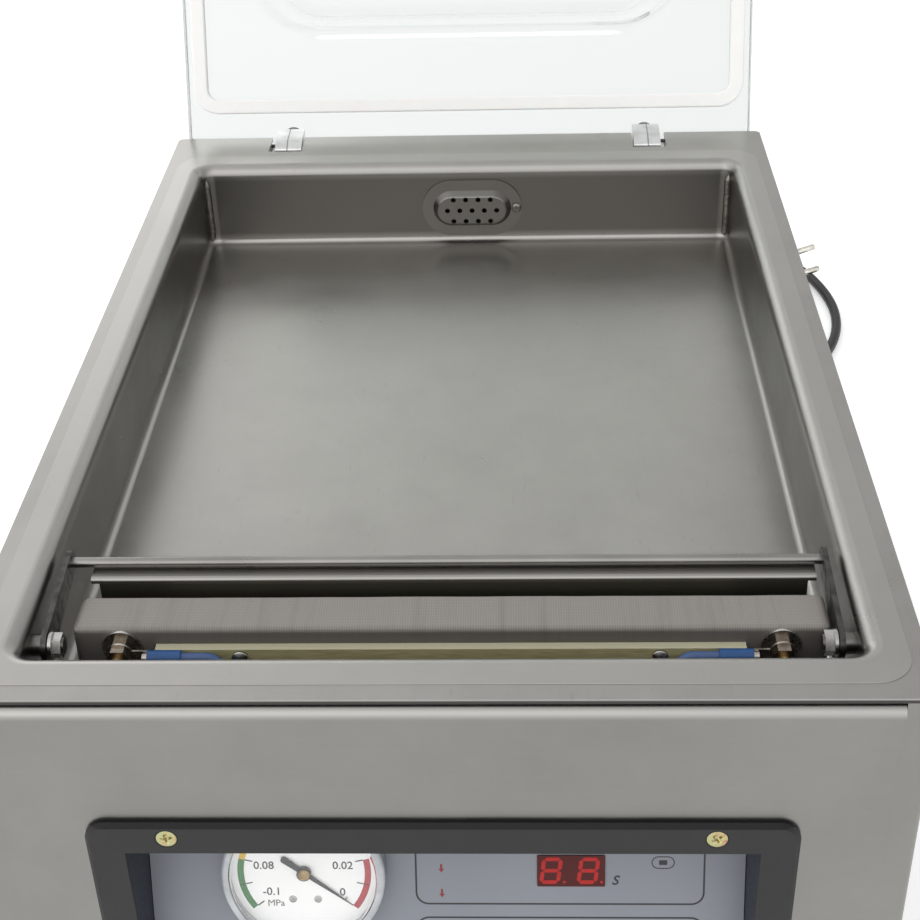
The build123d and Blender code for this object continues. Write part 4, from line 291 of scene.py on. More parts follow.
def clear_polymer(name, tint, ior, edge, through):
    """Clear sheet: polished faces with hairline wipe scratches, and a frosted sawn edge beyond the
    given half width. Light on its way to other surfaces passes straight through, with its own
    tint."""
    made, tree, mm = finish(name, tint, 0.015, IOR=ior, Transmission_Weight=1.0)
    drawn = add(tree, "VectorMath", {0: mm, 1: (1, 0.02, 0.02)}, operation="MULTIPLY")
    wipe = add(tree, "TexNoise", {"Vector": drawn, "Scale": 1 / WIPE_HAIR, "Detail": 3.0})
    hair = add(tree, "MapRange", {"Value": wipe, "From Min": 0.7, "From Max": 0.8,
                                  "To Min": 0.012, "To Max": 0.07})
    across = add(tree, "Math", {0: add(tree, "SeparateXYZ", {0: mm})}, operation="ABSOLUTE")
    sawn = add(tree, "MapRange", {"Value": across, "From Min": edge - 0.6, "From Max": edge - 0.2,
                                  "To Max": 0.45})
    gloss = add(tree, "Math", {0: hair, 1: sawn}, operation="ADD")
    unseen = add(tree, "Math", {0: add(tree, "LightPath", output="Is Shadow Ray"),
                                1: add(tree, "LightPath", output="Is Diffuse Ray")},
                 operation="MAXIMUM")
    passed = add(tree, "BsdfTransparent", {"Color": through})
    solid = tree.nodes["Principled BSDF"].outputs[0]
    mixed = add(tree, "MixShader", {0: unseen, 1: solid, 2: passed})
    tree.links.new(mixed, tree.nodes["Material Output"].inputs["Surface"])
    return coat(made, None, gloss)


def silicone(name, low, high):
    """Moulded silicone rubber: milky and even, with a dusty bloom."""
    made, tree, mm = finish(name, high, 0.5, IOR=1.41, Subsurface_Weight=0.2,
                            Subsurface_Scale=0.002)
    bloom = add(tree, "TexNoise", {"Vector": mm, "Scale": 1 / BLOOM, "Detail": 4.0})
    tone = add(tree, "Mix", {0: bloom, 6: low, 7: high}, **BLEND)
    gloss = add(tree, "MapRange", {"Value": bloom, **NOISE_SPAN, "To Min": 0.42, "To Max": 0.58})
    return coat(made, tone, gloss)


def moulded(name, low, high, rough, grain, depth):
    """Injection-moulded plastic or rubber: spark-eroded grain of this size and depth in
    millimetres, coarser than the real one to show, and slow changes of tone from handling."""
    made, tree, mm = finish(name, high, rough, IOR=1.5)
    cloud = add(tree, "TexNoise", {"Vector": mm, "Scale": 1 / HANDLED, "Detail": 4.0})
    fleck = add(tree, "TexNoise", {"Vector": mm, "Scale": 1 / grain, "Detail": 3.0})
    tone = add(tree, "Mix", {0: cloud, 6: low, 7: high}, **BLEND)
    gloss = add(tree, "MapRange", {"Value": fleck, **NOISE_SPAN,
                                   "To Min": rough - 0.06, "To Max": rough + 0.06})
    relief = add(tree, "Bump", {"Height": fleck, "Distance": depth / MM, "Strength": 1.0})
    return coat(made, tone, gloss, relief)


def console_abs():
    """Charcoal ABS console: matt spark-eroded grain, painted blue-black shade over the recess
    behind its front face, and painted darker shade on the bevel along its top."""
    made, tree, mm = finish("charcoal_abs", "#29292a", 0.5, IOR=1.5, Specular_IOR_Level=0.3)
    cloud = add(tree, "TexNoise", {"Vector": mm, "Scale": 1 / CONSOLE_CLOUD, "Detail": 4.0})
    fleck = add(tree, "TexNoise", {"Vector": mm, "Scale": 1 / CONSOLE_GRAIN, "Detail": 3.0})
    tone = add(tree, "Mix", {0: cloud, 6: "#252526", 7: "#2d2d2e"}, **BLEND)
    # Painted shade: the recess behind the front face and the top bevel are drawn darker
    depth = add(tree, "SeparateXYZ", {0: mm}, output=1)
    deep = add(tree, "MapRange", {"Value": depth, **FRAME_RECESS, "To Max": 0.85})
    tone = add(tree, "Mix", {0: deep, 6: tone, 7: "#2a303b"}, **BLEND)
    height = add(tree, "SeparateXYZ", {0: mm}, output=2)
    bevel = add(tree, "MapRange", {"Value": height, **FRAME_BEVEL, "To Max": 0.9})
    tone = add(tree, "Mix", {0: bevel, 6: tone, 7: "#080809"}, **BLEND)
    gloss = add(tree, "MapRange", {"Value": fleck, **NOISE_SPAN, "To Min": 0.44, "To Max": 0.58})
    relief = add(tree, "Bump", {"Height": fleck, "Distance": 0.02 / MM, "Strength": 1.0})
    return coat(made, tone, gloss, relief)


def zinc_yellow():
    """Chromate-passivated zinc plate: pale gold that drifts to green and rose."""
    made, tree, mm = finish("yellow_chromate_zinc", "#b8b086", 0.28, Metallic=1.0)
    drift = add(tree, "TexNoise", {"Vector": mm, "Scale": 1 / CHROMATE_DRIFT, "Detail": 3.0})
    early = add(tree, "MapRange", {"Value": drift, "From Min": 0.35, "From Max": 0.55})
    gold = add(tree, "Mix", {0: early, 6: "#aeb48a", 7: "#bdb283"}, **BLEND)
    late = add(tree, "MapRange", {"Value": drift, "From Min": 0.56, "From Max": 0.75})
    rose = add(tree, "Mix", {0: late, 6: gold, 7: "#b07f70"}, **BLEND)
    gloss = add(tree, "MapRange", {"Value": drift, **NOISE_SPAN, "To Min": 0.22, "To Max": 0.36})
    return coat(made, rose, gloss)


def overlay_film():
    """Polyester membrane overlay: blue-grey print under a velvet texture."""
    made, tree, mm = finish("velvet_polyester_film", "#7f838b", 0.42, IOR=1.57)
    cloud = add(tree, "TexNoise", {"Vector": mm, "Scale": 1 / FILM_CLOUD, "Detail": 3.0})
    velvet = add(tree, "TexNoise", {"Vector": mm, "Scale": 1 / VELVET, "Detail": 2.0})
    tone = add(tree, "Mix", {0: cloud, 6: "#7b7f87", 7: "#858991"}, **BLEND)
    gloss = add(tree, "MapRange", {"Value": velvet, **NOISE_SPAN, "To Min": 0.37, "To Max": 0.48})
    relief = add(tree, "Bump", {"Height": velvet, "Distance": 0.004 / MM, "Strength": 1.0})
    return coat(made, tone, gloss, relief)


def glass_cloth():
    """Coated glass cloth: plain weave, grey-brown, with scorched streaks down it and painted shade
    darkening its skirts."""
    made, tree, mm = finish("coated_glass_cloth", "#89847f", 0.44, IOR=1.38, Sheen_Weight=0.1)
    x, y, z = [add(tree, "SeparateXYZ", {0: mm}, output=axis) for axis in range(3)]
    girth = add(tree, "Math", {0: y, 1: z}, operation="SUBTRACT")
    turns = [add(tree, "Math", {0: way, 1: 2 * pi / THREAD}, operation="MULTIPLY")
             for way in (x, girth)]
    warp, weft = [add(tree, "Math", {0: turn}, operation="SINE") for turn in turns]
    weave = add(tree, "Math", {0: warp, 1: weft}, operation="MAXIMUM")
    share = add(tree, "MapRange", {"Value": weave, "From Min": -0.6, "From Max": 1.0})
    thread = add(tree, "Mix", {0: share, 6: "#7f7a75", 7: "#918c86"}, **BLEND)
    drawn = add(tree, "VectorMath", {0: mm, 1: (1, 0.06, 0.06)}, operation="MULTIPLY")
    streak = add(tree, "TexNoise", {"Vector": drawn, "Scale": 1 / SCORCH, "Detail": 4.0})
    scorch = add(tree, "MapRange", {"Value": streak, "From Min": 0.5, "From Max": 0.78,
                                    "To Max": 0.4})
    tone = add(tree, "Mix", {0: scorch, 6: thread, 7: "#716b66"}, **BLEND)
    # Painted shade down the cloth's sides, which face away from the light
    skirt = add(tree, "MapRange", {"Value": z, **CLOTH_SKIRT, "To Min": 0.7, "To Max": 0.0})
    tone = add(tree, "Mix", {0: skirt, 6: tone, 7: "#494542"}, **BLEND)
    relief = add(tree, "Bump", {"Height": weave, "Distance": 0.01 / MM, "Strength": 1.0})
    return coat(made, tone, relief=relief)


def laminate():
    """Glass-epoxy laminate: olive resin over drawn-out fibre bundles, paler on its top face."""
    made, tree, mm = finish("glass_epoxy_laminate", "#a49c72", 0.46, IOR=1.52)
    drawn = add(tree, "VectorMath", {0: mm, 1: (0.07, 1, 1)}, operation="MULTIPLY")
    fibre = add(tree, "TexNoise", {"Vector": drawn, "Scale": 1 / FIBRE, "Detail": 3.0})
    share = add(tree, "MapRange", {"Value": fibre, "From Min": 0.35, "From Max": 0.65})
    tone = add(tree, "Mix", {0: share, 6: "#a59d70", 7: "#bbb48a"}, **BLEND)
    height = add(tree, "SeparateXYZ", {0: mm}, output=2)
    sawn = add(tree, "MapRange", {"Value": height, **STRIP_TOP, "To Max": 0.7})
    tone = add(tree, "Mix", {0: sawn, 6: tone, 7: "#d0cdb6"}, **BLEND)
    relief = add(tree, "Bump", {"Height": fibre, "Distance": 0.008 / MM, "Strength": 1.0})
    return coat(made, tone, relief=relief)


def solder_mask():
    """Printed circuit board: green solder mask with the copper runs showing faintly."""
    made, tree, mm = finish("green_solder_mask", "#2c5a3a", 0.35, IOR=1.5, Coat_Weight=0.3)
    drawn = add(tree, "VectorMath", {0: mm, 1: (0.1, 1, 0.1)}, operation="MULTIPLY")
    run = add(tree, "TexNoise", {"Vector": drawn, "Scale": 1 / COPPER_RUN, "Detail": 1.0})
    share = add(tree, "MapRange", {"Value": run, "From Min": 0.53, "From Max": 0.58})
    tone = add(tree, "Mix", {0: share, 6: "#23502f", 7: "#3b7048"}, **BLEND)
    return coat(made, tone)


def painted_iron():
    """Grey stoved enamel on cast iron: orange peel and dull patches."""
    made, tree, mm = finish("grey_enamelled_iron", "#6e7274", 0.5, IOR=1.5)
    peel = add(tree, "TexNoise", {"Vector": mm, "Scale": 1 / ORANGE_PEEL, "Detail": 3.0})
    patch = add(tree, "TexNoise", {"Vector": mm, "Scale": 1 / ENAMEL_PATCH, "Detail": 4.0})
    tone = add(tree, "Mix", {0: patch, 6: "#787c7e", 7: "#5b5e60"}, **BLEND)
    relief = add(tree, "Bump", {"Height": peel, "Distance": 0.06 / MM, "Strength": 1.0})
    return coat(made, tone, relief=relief)


def terminal_nickel():
    """Nickel-plated nuts gone brown with heat, on washers that have stayed bright."""
    made, tree, mm = finish("heat_browned_nickel", "#8f857b", 0.3, Metallic=1.0)
    spot = add(tree, "TexNoise", {"Vector": mm, "Scale": 1 / NUT_STAIN, "Detail": 4.0})
    brown = add(tree, "Mix", {0: spot, 6: "#a3988c", 7: "#6f655c"}, **BLEND)
    depth = add(tree, "SeparateXYZ", {0: mm}, output=1)
    bright = add(tree, "MapRange", {"Value": depth, **WASHER_FACE})
    tone = add(tree, "Mix", {0: bright, 6: brown, 7: "#c9c8c5"}, **BLEND)
    gloss = add(tree, "MapRange", {"Value": spot, **NOISE_SPAN, "To Min": 0.2, "To Max": 0.38})
    return coat(made, tone, gloss)


def print_ink(name, colour):
    """Screen-printed ink: matt, its cover slightly uneven."""
    made, tree, mm = finish(name, colour, 0.5, IOR=1.5)
    cover = add(tree, "TexNoise", {"Vector": mm, "Scale": 1 / INK_COVER, "Detail": 3.0})
    thin = [0.75 * share for share in linear(colour)[:3]] + [1.0]
    tone = add(tree, "Mix", {0: cover, 6: colour, 7: thin}, **BLEND)
    return coat(made, tone)


def segment_glow(name, colour, strength):
    """Light-emitting segment behind its filter: red, with a hazy unevenness."""
    made, tree, mm = finish(name, colour, 0.4, IOR=1.5, Specular_IOR_Level=0.2,
                            Emission_Color=linear(colour), Emission_Strength=strength)
    haze = add(tree, "TexNoise", {"Vector": mm, "Scale": 1 / SEGMENT_HAZE, "Detail": 2.0})
    tone = add(tree, "Mix", {0: haze, 6: colour, 7: "#8d2320"}, **BLEND)
    return coat(made, tone)


def clear_rim():
    """Clear styrene cap over the gauge's white case: pale and glossy, with a painted dark line where
    it turns away from the view, standing for the refraction in a thick clear wall."""
    made, tree, mm = finish("clear_styrene_over_white", "#e4e5e6", 0.08, IOR=1.59, Coat_Weight=0.6)
    # Painted shade: a dark line drawn where the surface turns away from the view
    turn = add(tree, "LayerWeight", {"Blend": 0.5}, output="Facing")
    streak = add(tree, "TexNoise", {"Vector": mm, "Scale": 1 / RIM_STREAK, "Detail": 3.0})
    pale = add(tree, "Mix", {0: streak, 6: "#8f9399", 7: "#d3d6d9"}, **BLEND)
    line = add(tree, "MapRange", {"Value": turn, "From Min": 0.72, "From Max": 0.86})
    tone = add(tree, "Mix", {0: line, 6: pale, 7: "#4c4e52"}, **BLEND)
    return coat(made, tone)


def enamel(name, low, high, rough, shine=0.5):
    """Stoved enamel, lacquer or gloss film: faint unevenness under the gloss, less of which an
    anti-glare film has."""
    made, tree, mm = finish(name, high, rough, IOR=1.5, Specular_IOR_Level=shine)
    wave = add(tree, "TexNoise", {"Vector": mm, "Scale": 1 / GLOSS_WAVE, "Detail": 3.0})
    tone = add(tree, "Mix", {0: wave, 6: low, 7: high}, **BLEND)
    gloss = add(tree, "MapRange", {"Value": wave, **NOISE_SPAN,
                                   "To Min": rough - 0.04, "To Max": rough + 0.06})
    return coat(made, tone, gloss)


skins = {
    "deck": deck_stainless(),
    "front": satin_stainless("satin_stainless_front", "#83827e", "#8f8e8a", 0.34, (0.008, 1, 1),
                             ROLL_RUBBED),
    "side": satin_stainless("satin_stainless_side", "#83827e", "#8f8e8a", 0.36, (1, 0.008, 1)),
    # The suction cover's darker copy of the satin sheet is painted shade of the rear wall it sits on
    "cover": satin_stainless("satin_stainless_cover_shaded", "#777571", "#84827e", 0.32, (0.01, 1, 1)),
    "rest": folded_rest(),
    "bright": turned_metal("turned_bright_steel", "#a3a19e", "#c2c1be", 0.2),
    "rod": satin_stainless("drawn_stainless_rod", "#85837f", "#9d9b97", 0.28, (0.008, 1, 1)),
    "tinned": turned_metal("tinned_copper_lug", "#9a948a", "#c8c2b8", 0.26),
    # The clamp arms' dark steel is painted shade: they are stainless standing in shadow
    "dark": turned_metal("dark_steel_painted_shade", "#42413f", "#5a5956", 0.36),
    "cast": cast_aluminium(),
    "milled": milled_aluminium(),
    "acrylic": clear_polymer("cast_clear_acrylic", "#f8fbfa", 1.49, LID_HALF_W, "#f9fcfc"),
    "lens": clear_polymer("polycarbonate_lens", "#ffffff", 1.58, UNCUT, "#ffffff"),
    "gasket": silicone("white_silicone_rubber", "#f0f0ee", "#f6f6f4"),
    "pad": silicone("press_pad_silicone", "#c9a79a", "#d6b5a8"),
    "console": console_abs(),
    "rubber": moulded("black_moulded_rubber", "#191a1b", "#232425", 0.65, 0.6, 0.03),
    "zinc": zinc_yellow(),
    "film": overlay_film(),
    "window": enamel("red_display_filter", "#4a1d1c", "#552221", 0.3, 0.2),
    "bezel": clear_rim(),
    "dial": enamel("white_dial_enamel", "#fafaf9", "#fdfdfc", 0.34),
    "needle": enamel("black_needle_lacquer", "#2c2c2d", "#39393a", 0.4),
    "board": solder_mask(),
    "iron": painted_iron(),
    "fan": moulded("black_nylon_fan", "#26282b", "#303236", 0.45, 0.8, 0.02),
    "bronze": turned_metal("sintered_bronze", "#7a5a34", "#a9824f", 0.36),
    "brass": turned_metal("terminal_brass", "#7d6a4a", "#b39a6c", 0.3),
    "nickel": terminal_nickel(),
    "band": turned_metal("nickel_chromium_band", "#6f655c", "#93887d", 0.36),
    "cloth": glass_cloth(),
    "laminate": laminate(),
    "sleeve": moulded("blue_vinyl_sleeve", "#17447a", "#1f5996", 0.4, 0.8, 0.006),
    "lead": moulded("blue_silicone_lead", "#3c5480", "#4b6696", 0.45, 0.8, 0.006),
    "hose": moulded("black_vacuum_hose", "#2a2b2c", "#343536", 0.6, 0.7, 0.03),
    "cord": moulded("black_pvc_cord", "#1b1b1c", "#262627", 0.46, 0.9, 0.01),
    "tie": moulded("white_nylon_tie", "#d8d8d4", "#e6e6e2", 0.42, 0.7, 0.01),
    "pin": turned_metal("nickel_plated_pin", "#b5b1a6", "#dcd9d0", 0.18),
    "weld": turned_metal("pickled_weld_bead", "#5f5c57", "#85827c", 0.38),
    "ink_black": print_ink("black_dial_ink", "#2d2d2e"),
    "ink_green": print_ink("green_dial_ink", "#3f8a4c"),
    "ink_yellow": print_ink("yellow_dial_ink", "#f3c326"),
    "ink_red": print_ink("red_dial_ink", "#c23b42"),
    "line": print_ink("black_overlay_ink", "#2e2b2f"),
    "arrow": print_ink("red_overlay_ink", "#8c2c30"),
    "lit": segment_glow("lit_red_segment", "#b8302e", 0.12),
}

dressed = {
    "deck": ["chamber_deck"],
    "front": ["front_panel", "rear_panel", "base_plate"],
    "side": ["side_panel_left", "side_panel_right"],
    "cover": ["suction_cover"],
    "rest": ["bag_rest"],
    "rod": ["clamp_rod"],
    "tinned": ["ring_terminals"],
    "bright": ["clamp_nuts", "hinge_brackets", "hinge_pins", "hinge_screws", "lift_rods",
               "lift_cylinders", "suction_screw", "strip_screws"],
    "dark": ["clamp_arms"],
    "cast": ["hinge_arms"],
    "milled": ["seal_bar", "press_bar_holder", "valve_block"],
    "acrylic": ["lid"],
    "lens": ["gauge_lens"],
    "gasket": ["lid_gasket"],
    "pad": ["press_bar"],
    "console": ["console_frame"],
    "rubber": ["rubber_feet", "lead_grommets", "pump_mounts", "cord_gland"],
    "zinc": ["console_screws"],
    "film": ["membrane_panel"],
    "window": ["display_window"],
    "bezel": ["gauge_case"],
    "dial": ["gauge_dial"],
    "needle": ["gauge_needle"],
    "board": ["control_board"],
    "iron": ["vacuum_pump", "pump_motor", "transformer"],
    "fan": ["motor_fan"],
    "bronze": ["lift_bushes"],
    "brass": ["terminal_studs"],
    "nickel": ["terminal_nuts"],
    "band": ["heating_band"],
    "cloth": ["seal_cloth"],
    "laminate": ["cloth_strips"],
    "sleeve": ["terminal_sleeves"],
    "lead": ["seal_leads"],
    "hose": ["vacuum_hose"],
    "cord": ["cord_inlet", "cord_coil", "mains_cord", "mains_plug"],
    "tie": ["cord_tie"],
    "pin": ["plug_pins"],
}
for kind, names in dressed.items():
    for name in names:
        for holder in nodes[name].material_slots:
            holder.material = skins[kind]


def piece(name, verts, faces, kind, body, slot, smooth=True):
    """A mesh piece in frame metres that rides on a body and takes the finish of its kind. Its slot
    is not used.
    """
    mesh = bpy.data.meshes.new(name)
    mesh.from_pydata([tuple(v) for v in verts], [], faces)
    shell = bmesh.new()
    shell.from_mesh(mesh)
    bmesh.ops.recalc_face_normals(shell, faces=shell.faces)
    shell.to_mesh(mesh)
    shell.free()
    mesh.polygons.foreach_set("use_smooth", [smooth] * len(mesh.polygons))
    mesh.materials.append(skins[kind])
    made = bpy.data.objects.new(name, mesh)
    scene.collection.objects.link(made)
    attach(made, body)
    return made


def joined(shapes):
    """Several point and face lists as one."""
    verts, faces = [], []
    for more_verts, more_faces in shapes:
        faces += [[len(verts) + i for i in face] for face in more_faces]
        verts += more_verts
    return verts, faces


def ring_faces(rings, spokes, first=0, closed=True):
    """Faces between rings of points that follow one another from a first point on."""
    faces = []
    for ring in range(rings - 1):
        for spoke in range(spokes if closed else spokes - 1):
            a, b = ring * spokes + spoke, ring * spokes + (spoke + 1) % spokes
            faces.append([first + i for i in (a, b, b + spokes, a + spokes)])
    return faces


# Console face: across, up it and out of it
PANEL_Y, PANEL_Z = -223.8, 149.4
PANEL_COS, PANEL_SIN = 0.9584, 0.2853
GAUGE_U, GAUGE_V = -52.5, 19.8
GAUGE_AT = (GAUGE_U, GAUGE_V)
PRINT = 0.03         # printed marks stand this far out of their ground


def on_panel(u, v, w):
    """Frame point of a place on the console face."""
    return at(u, PANEL_Y + v * PANEL_SIN - w * PANEL_COS, PANEL_Z + v * PANEL_COS + w * PANEL_SIN)


def prism(outline, low, high):
    """Flat closed solid over an outline."""
    count = len(outline)
    verts = [(u, v, w) for w in (low, high) for u, v in outline]
    ends = [list(range(count, 2 * count)), list(range(count - 1, -1, -1))]
    return verts, ends + ring_faces(2, count)


def band(outer, inner, low, high, closed=True):
    """Flat closed solid between two lines of points."""
    count = len(outer)
    verts = [(u, v, w) for w in (low, high) for line in (outer, inner) for u, v in line]
    faces = []
    for i in range(count if closed else count - 1):
        j = (i + 1) % count
        faces.append([2 * count + i, 2 * count + j, 3 * count + j, 3 * count + i])
        faces.append([count + i, count + j, j, i])
        faces.append([i, j, 2 * count + j, 2 * count + i])
        faces.append([count + j, count + i, 3 * count + i, 3 * count + j])
    if not closed:
        faces.append([0, count, 3 * count, 2 * count])
        faces.append([count - 1, 3 * count - 1, 4 * count - 1, 2 * count - 1])
    return verts, faces


def arc(radius, start, end, steps):
    """Points on an arc about the origin, angles in degrees."""
    angles = [radians(start + (end - start) * i / steps) for i in range(steps + 1)]
    return [(radius * cos(a), radius * sin(a)) for a in angles]


def circle(radius, count, u=0.0, v=0.0):
    """So many points of a whole circle about a point."""
    return [(u + p, v + q) for p, q in arc(radius, 0, 360 - 360 / count, count - 1)]


def rounded(u0, v0, u1, v1, radius, steps=8):
    """Outline of a rectangle with rounded corners."""
    points = []
    for u, v, turn in ((u1, v0, -90), (u1, v1, 0), (u0, v1, 90), (u0, v0, 180)):
        centre = (u - radius if u == u1 else u + radius, v - radius if v == v1 else v + radius)
        points += [(centre[0] + p, centre[1] + q) for p, q in arc(radius, turn, turn + 90, steps)]
    return points


def drawn_frame(u0, v0, u1, v1, radius, width):
    """Printed outline of a rounded rectangle, its line this wide."""
    inner = rounded(u0 + width, v0 + width, u1 - width, v1 - width, radius - width)
    return band(rounded(u0, v0, u1, v1, radius), inner, 0.0, PRINT)


def stroke(p, q, width, low):
    """Straight printed mark from one point to another."""
    along = (Vector(q) - Vector(p)).normalized() * width / 2
    side = Vector((-along.y, along.x))
    corners = [Vector(p) - side, Vector(q) - side, Vector(q) + side, Vector(p) + side]
    return prism([tuple(c) for c in corners], low, low + PRINT)


def figures(text, size, u, v, low, weight, slant=0.0):
    """Plain figures about a point, this high over the panel, their strokes widened by a weight."""
    curve = bpy.data.curves.new("figures", "FONT")
    curve.body, curve.size, curve.shear, curve.offset = text, size, slant, weight
    curve.align_x, curve.align_y = "CENTER", "CENTER"
    curve.extrude = PRINT / 2
    curve.resolution_u = 3
    holder = bpy.data.objects.new("figures", curve)
    mesh = bpy.data.meshes.new_from_object(holder)
    verts = [(u + c.co.x, v + c.co.y, low + PRINT / 2 + c.co.z) for c in mesh.vertices]
    faces = [list(f.vertices) for f in mesh.polygons]
    bpy.data.objects.remove(holder)
    bpy.data.curves.remove(curve)
    bpy.data.meshes.remove(mesh)
    return verts, faces


def flat_piece(name, shapes, kind, slot, centre=(0, 0), body="cabinet"):
    """Flat solids drawn about a point of the console face, as one piece."""
    verts, faces = joined(shapes)
    placed = [on_panel(centre[0] + u, centre[1] + v, w) for u, v, w in verts]
    return piece(name, placed, faces, kind, body, slot, smooth=False)


# Dial: coloured arcs, ticks and plain numbers on its card
DIAL = 2.8                                    # height of the card over the console face
SCALE_START, SCALE_END, SCALE_MARKS = 218.0, -38.0, 10
ARC_OUT, ARC_IN, ARC_STEPS = 24.9, 22.5, 16    # radii of the coloured arcs
LONG_TICK = (19.6, ARC_IN, 0.5)               # radii of its ends, and its width
SHORT_TICK = (ARC_IN, ARC_OUT, 0.3)           # across the coloured arcs
INNER_TICK = (19.9, 22.4, 0.45)               # inside the first and the last short tick
scale_step = (SCALE_END - SCALE_START) / SCALE_MARKS
for name, start, end, kind in (
    ("dial_green", 0, 2, "ink_green"), ("dial_yellow", 2, 4, "ink_yellow"),
    ("dial_red", 8, 10, "ink_red"),
):
    sweep = (SCALE_START + start * scale_step, SCALE_START + end * scale_step)
    shape = band(arc(ARC_OUT, *sweep, ARC_STEPS), arc(ARC_IN, *sweep, ARC_STEPS),
                 DIAL, DIAL + PRINT, closed=False)
    flat_piece(name, [shape], kind, "dial_card", GAUGE_AT)
ticks = []
for mark in range(SCALE_MARKS + 1):
    angle = radians(SCALE_START + mark * scale_step)
    way = Vector((cos(angle), sin(angle)))
    inner, outer, width = SHORT_TICK if mark % 2 else LONG_TICK
    ticks.append(stroke(tuple(way * inner), tuple(way * outer), width, DIAL + PRINT))
    if mark in (1, SCALE_MARKS - 1):
        inner, outer, width = INNER_TICK
        ticks.append(stroke(tuple(way * inner), tuple(way * outer), width, DIAL))
flat_piece("dial_ticks", ticks, "ink_black", "dial_card", GAUGE_AT)
NUMBER_SIZE, NUMBER_WEIGHT, UNIT_SIZE = 4.5, 0.05, 3.8
numbers = [("0.08", -15.0, 2.7), ("0.02", 14.4, 2.7), ("0.06", -12.0, 14.6), ("0.04", 12.0, 14.6),
           ("-0.1", -12.4, -8.2), ("0", 14.0, -8.4)]
marks = [figures(text, NUMBER_SIZE, u, v, DIAL, NUMBER_WEIGHT) for text, u, v in numbers]
marks.append(figures("MPa", UNIT_SIZE, -11.0, -13.0, DIAL, 0.0))
flat_piece("dial_numbers", marks, "ink_black", "dial_card", GAUGE_AT)

# Screw heads: radius, crown, reach, width and depth of the recess, skirt, lean of a countersunk one
CONSOLE_HEAD = (3.7, 0.15, 2.2, 1.2, 1.9, 2.0, 1.6)
STRIP_HEAD = (3.0, 1.2, 1.5, 0.8, 1.4, 1.0)
COVER_HEAD = (2.7, 1.0, 1.4, 0.75, 1.2, 0.8)
CARD_HEAD = (1.5, 0.4, 0.9, 0.35, 0.4, 0.0)
HEAD_RINGS, HEAD_SPOKES = 20, 64
RECESS_WALL, RECESS_TAPER = 0.12, 0.45        # slope of the recess's walls and rise to its ends


def cross_head(radius, crown, reach, width, depth, skirt, lean=0.0):
    """Screw head about +Z with a cross recess, as rings of points down to its skirt, which leans in
    by so much on a countersunk head."""
    angles = [2 * pi * spoke / HEAD_SPOKES for spoke in range(HEAD_SPOKES)]
    verts = [(0, 0, crown - depth)]
    for ring in range(1, HEAD_RINGS + 1):
        r = radius * ring / HEAD_RINGS
        dome = crown * (1 - (r / radius) ** 2)
        for x, y in [(r * cos(angle), r * sin(angle)) for angle in angles]:
            inside = max(min(width / 2 - abs(y), reach - abs(x)),
                         min(width / 2 - abs(x), reach - abs(y)))
            wall = min(max(inside / (RECESS_WALL * width) + 0.5, 0), 1)
            sink = depth * wall * (1 - RECESS_TAPER * r / reach) if r < reach else 0
            verts.append((x, y, dome - max(sink, 0)))
    foot = radius - lean
    verts += [(foot * cos(angle), foot * sin(angle), -skirt) for angle in angles]
    faces = [[0, 1 + spoke, 1 + (spoke + 1) % HEAD_SPOKES] for spoke in range(HEAD_SPOKES)]
    faces += ring_faces(HEAD_RINGS + 1, HEAD_SPOKES, first=1)
    faces.append([1 + HEAD_RINGS * HEAD_SPOKES + spoke for spoke in range(HEAD_SPOKES)])
    return verts, faces


def screws(name, spots, toward, head, kind, body, slot, turns):
    """Several cross-head screws that face one way, as one piece in cabinet millimetres."""
    shapes = []
    for spot, turn in zip(spots, turns):
        aim = Vector(toward).to_track_quat("Z", "Y").to_matrix()
        aim = aim @ Matrix.Rotation(radians(turn), 3, "Z")
        verts, faces = cross_head(*head)
        shapes.append(([at(*(Vector(spot) + aim @ Vector(v))) for v in verts], faces))
    return piece(name, *joined(shapes), kind, body, slot)


# Screws with their recesses: console frame, cloth strips, suction cover and dial card
FORWARD, BACKWARD, OFF_PANEL = (0, -1, 0), (0, 1, 0), (0, -PANEL_COS, PANEL_SIN)
CONSOLE_SCREW_X, CONSOLE_SCREW_Y, CONSOLE_SCREW_UP = 95.5, -242.8, 59.3
BAR_X = 2.8          # middle of the sealing bar
STRIP_SCREW_X, STRIP_SCREW_Z = 75.0, 249.55
STRIP_FRONT, STRIP_REAR = -194.9, -167.1
COVER_SCREW = (27.6, 195.2, 245.0)
CARD_SCREW_U, CARD_SCREW_V = 4.7, -11.3
console_spots = [(x, CONSOLE_SCREW_Y, PANEL_Z + z) for x in (-CONSOLE_SCREW_X, CONSOLE_SCREW_X)
                 for z in (CONSOLE_SCREW_UP, -CONSOLE_SCREW_UP)]
heads = screws("console_screw_heads", console_spots, FORWARD, CONSOLE_HEAD, "zinc",
               "cabinet", "zinc_yellow", (12, 70, 38, 5))
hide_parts("console_screws")
front_spots, rear_spots = [
    [(BAR_X + side * STRIP_SCREW_X, y, STRIP_SCREW_Z) for side in (-1, 1)]
    for y in (STRIP_FRONT, STRIP_REAR)
]
heads = screws("strip_screw_heads", front_spots, FORWARD, STRIP_HEAD, "bright",
               "seal_bar", "steel_hardware", (20, 65))
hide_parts("strip_screws")
screws("rear_strip_screw_heads", rear_spots, BACKWARD, STRIP_HEAD, "bright",
       "seal_bar", "steel_hardware", (40, 10))
# The cover's screw takes the same darker copy, painted shade
heads = screws("suction_screw_head", [COVER_SCREW], FORWARD, COVER_HEAD,
               "cover", "cabinet", "steel_hardware", (15,))
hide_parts("suction_screw")
card_spots = [on_panel(GAUGE_U + u, GAUGE_V + CARD_SCREW_V, DIAL) * MM + Vector((0, STAND_Y, 0))
              for u in (-CARD_SCREW_U, CARD_SCREW_U)]
screws("dial_card_screws", card_spots, OFF_PANEL, CARD_HEAD, "bright",
       "cabinet", "steel_hardware", (25, 60))

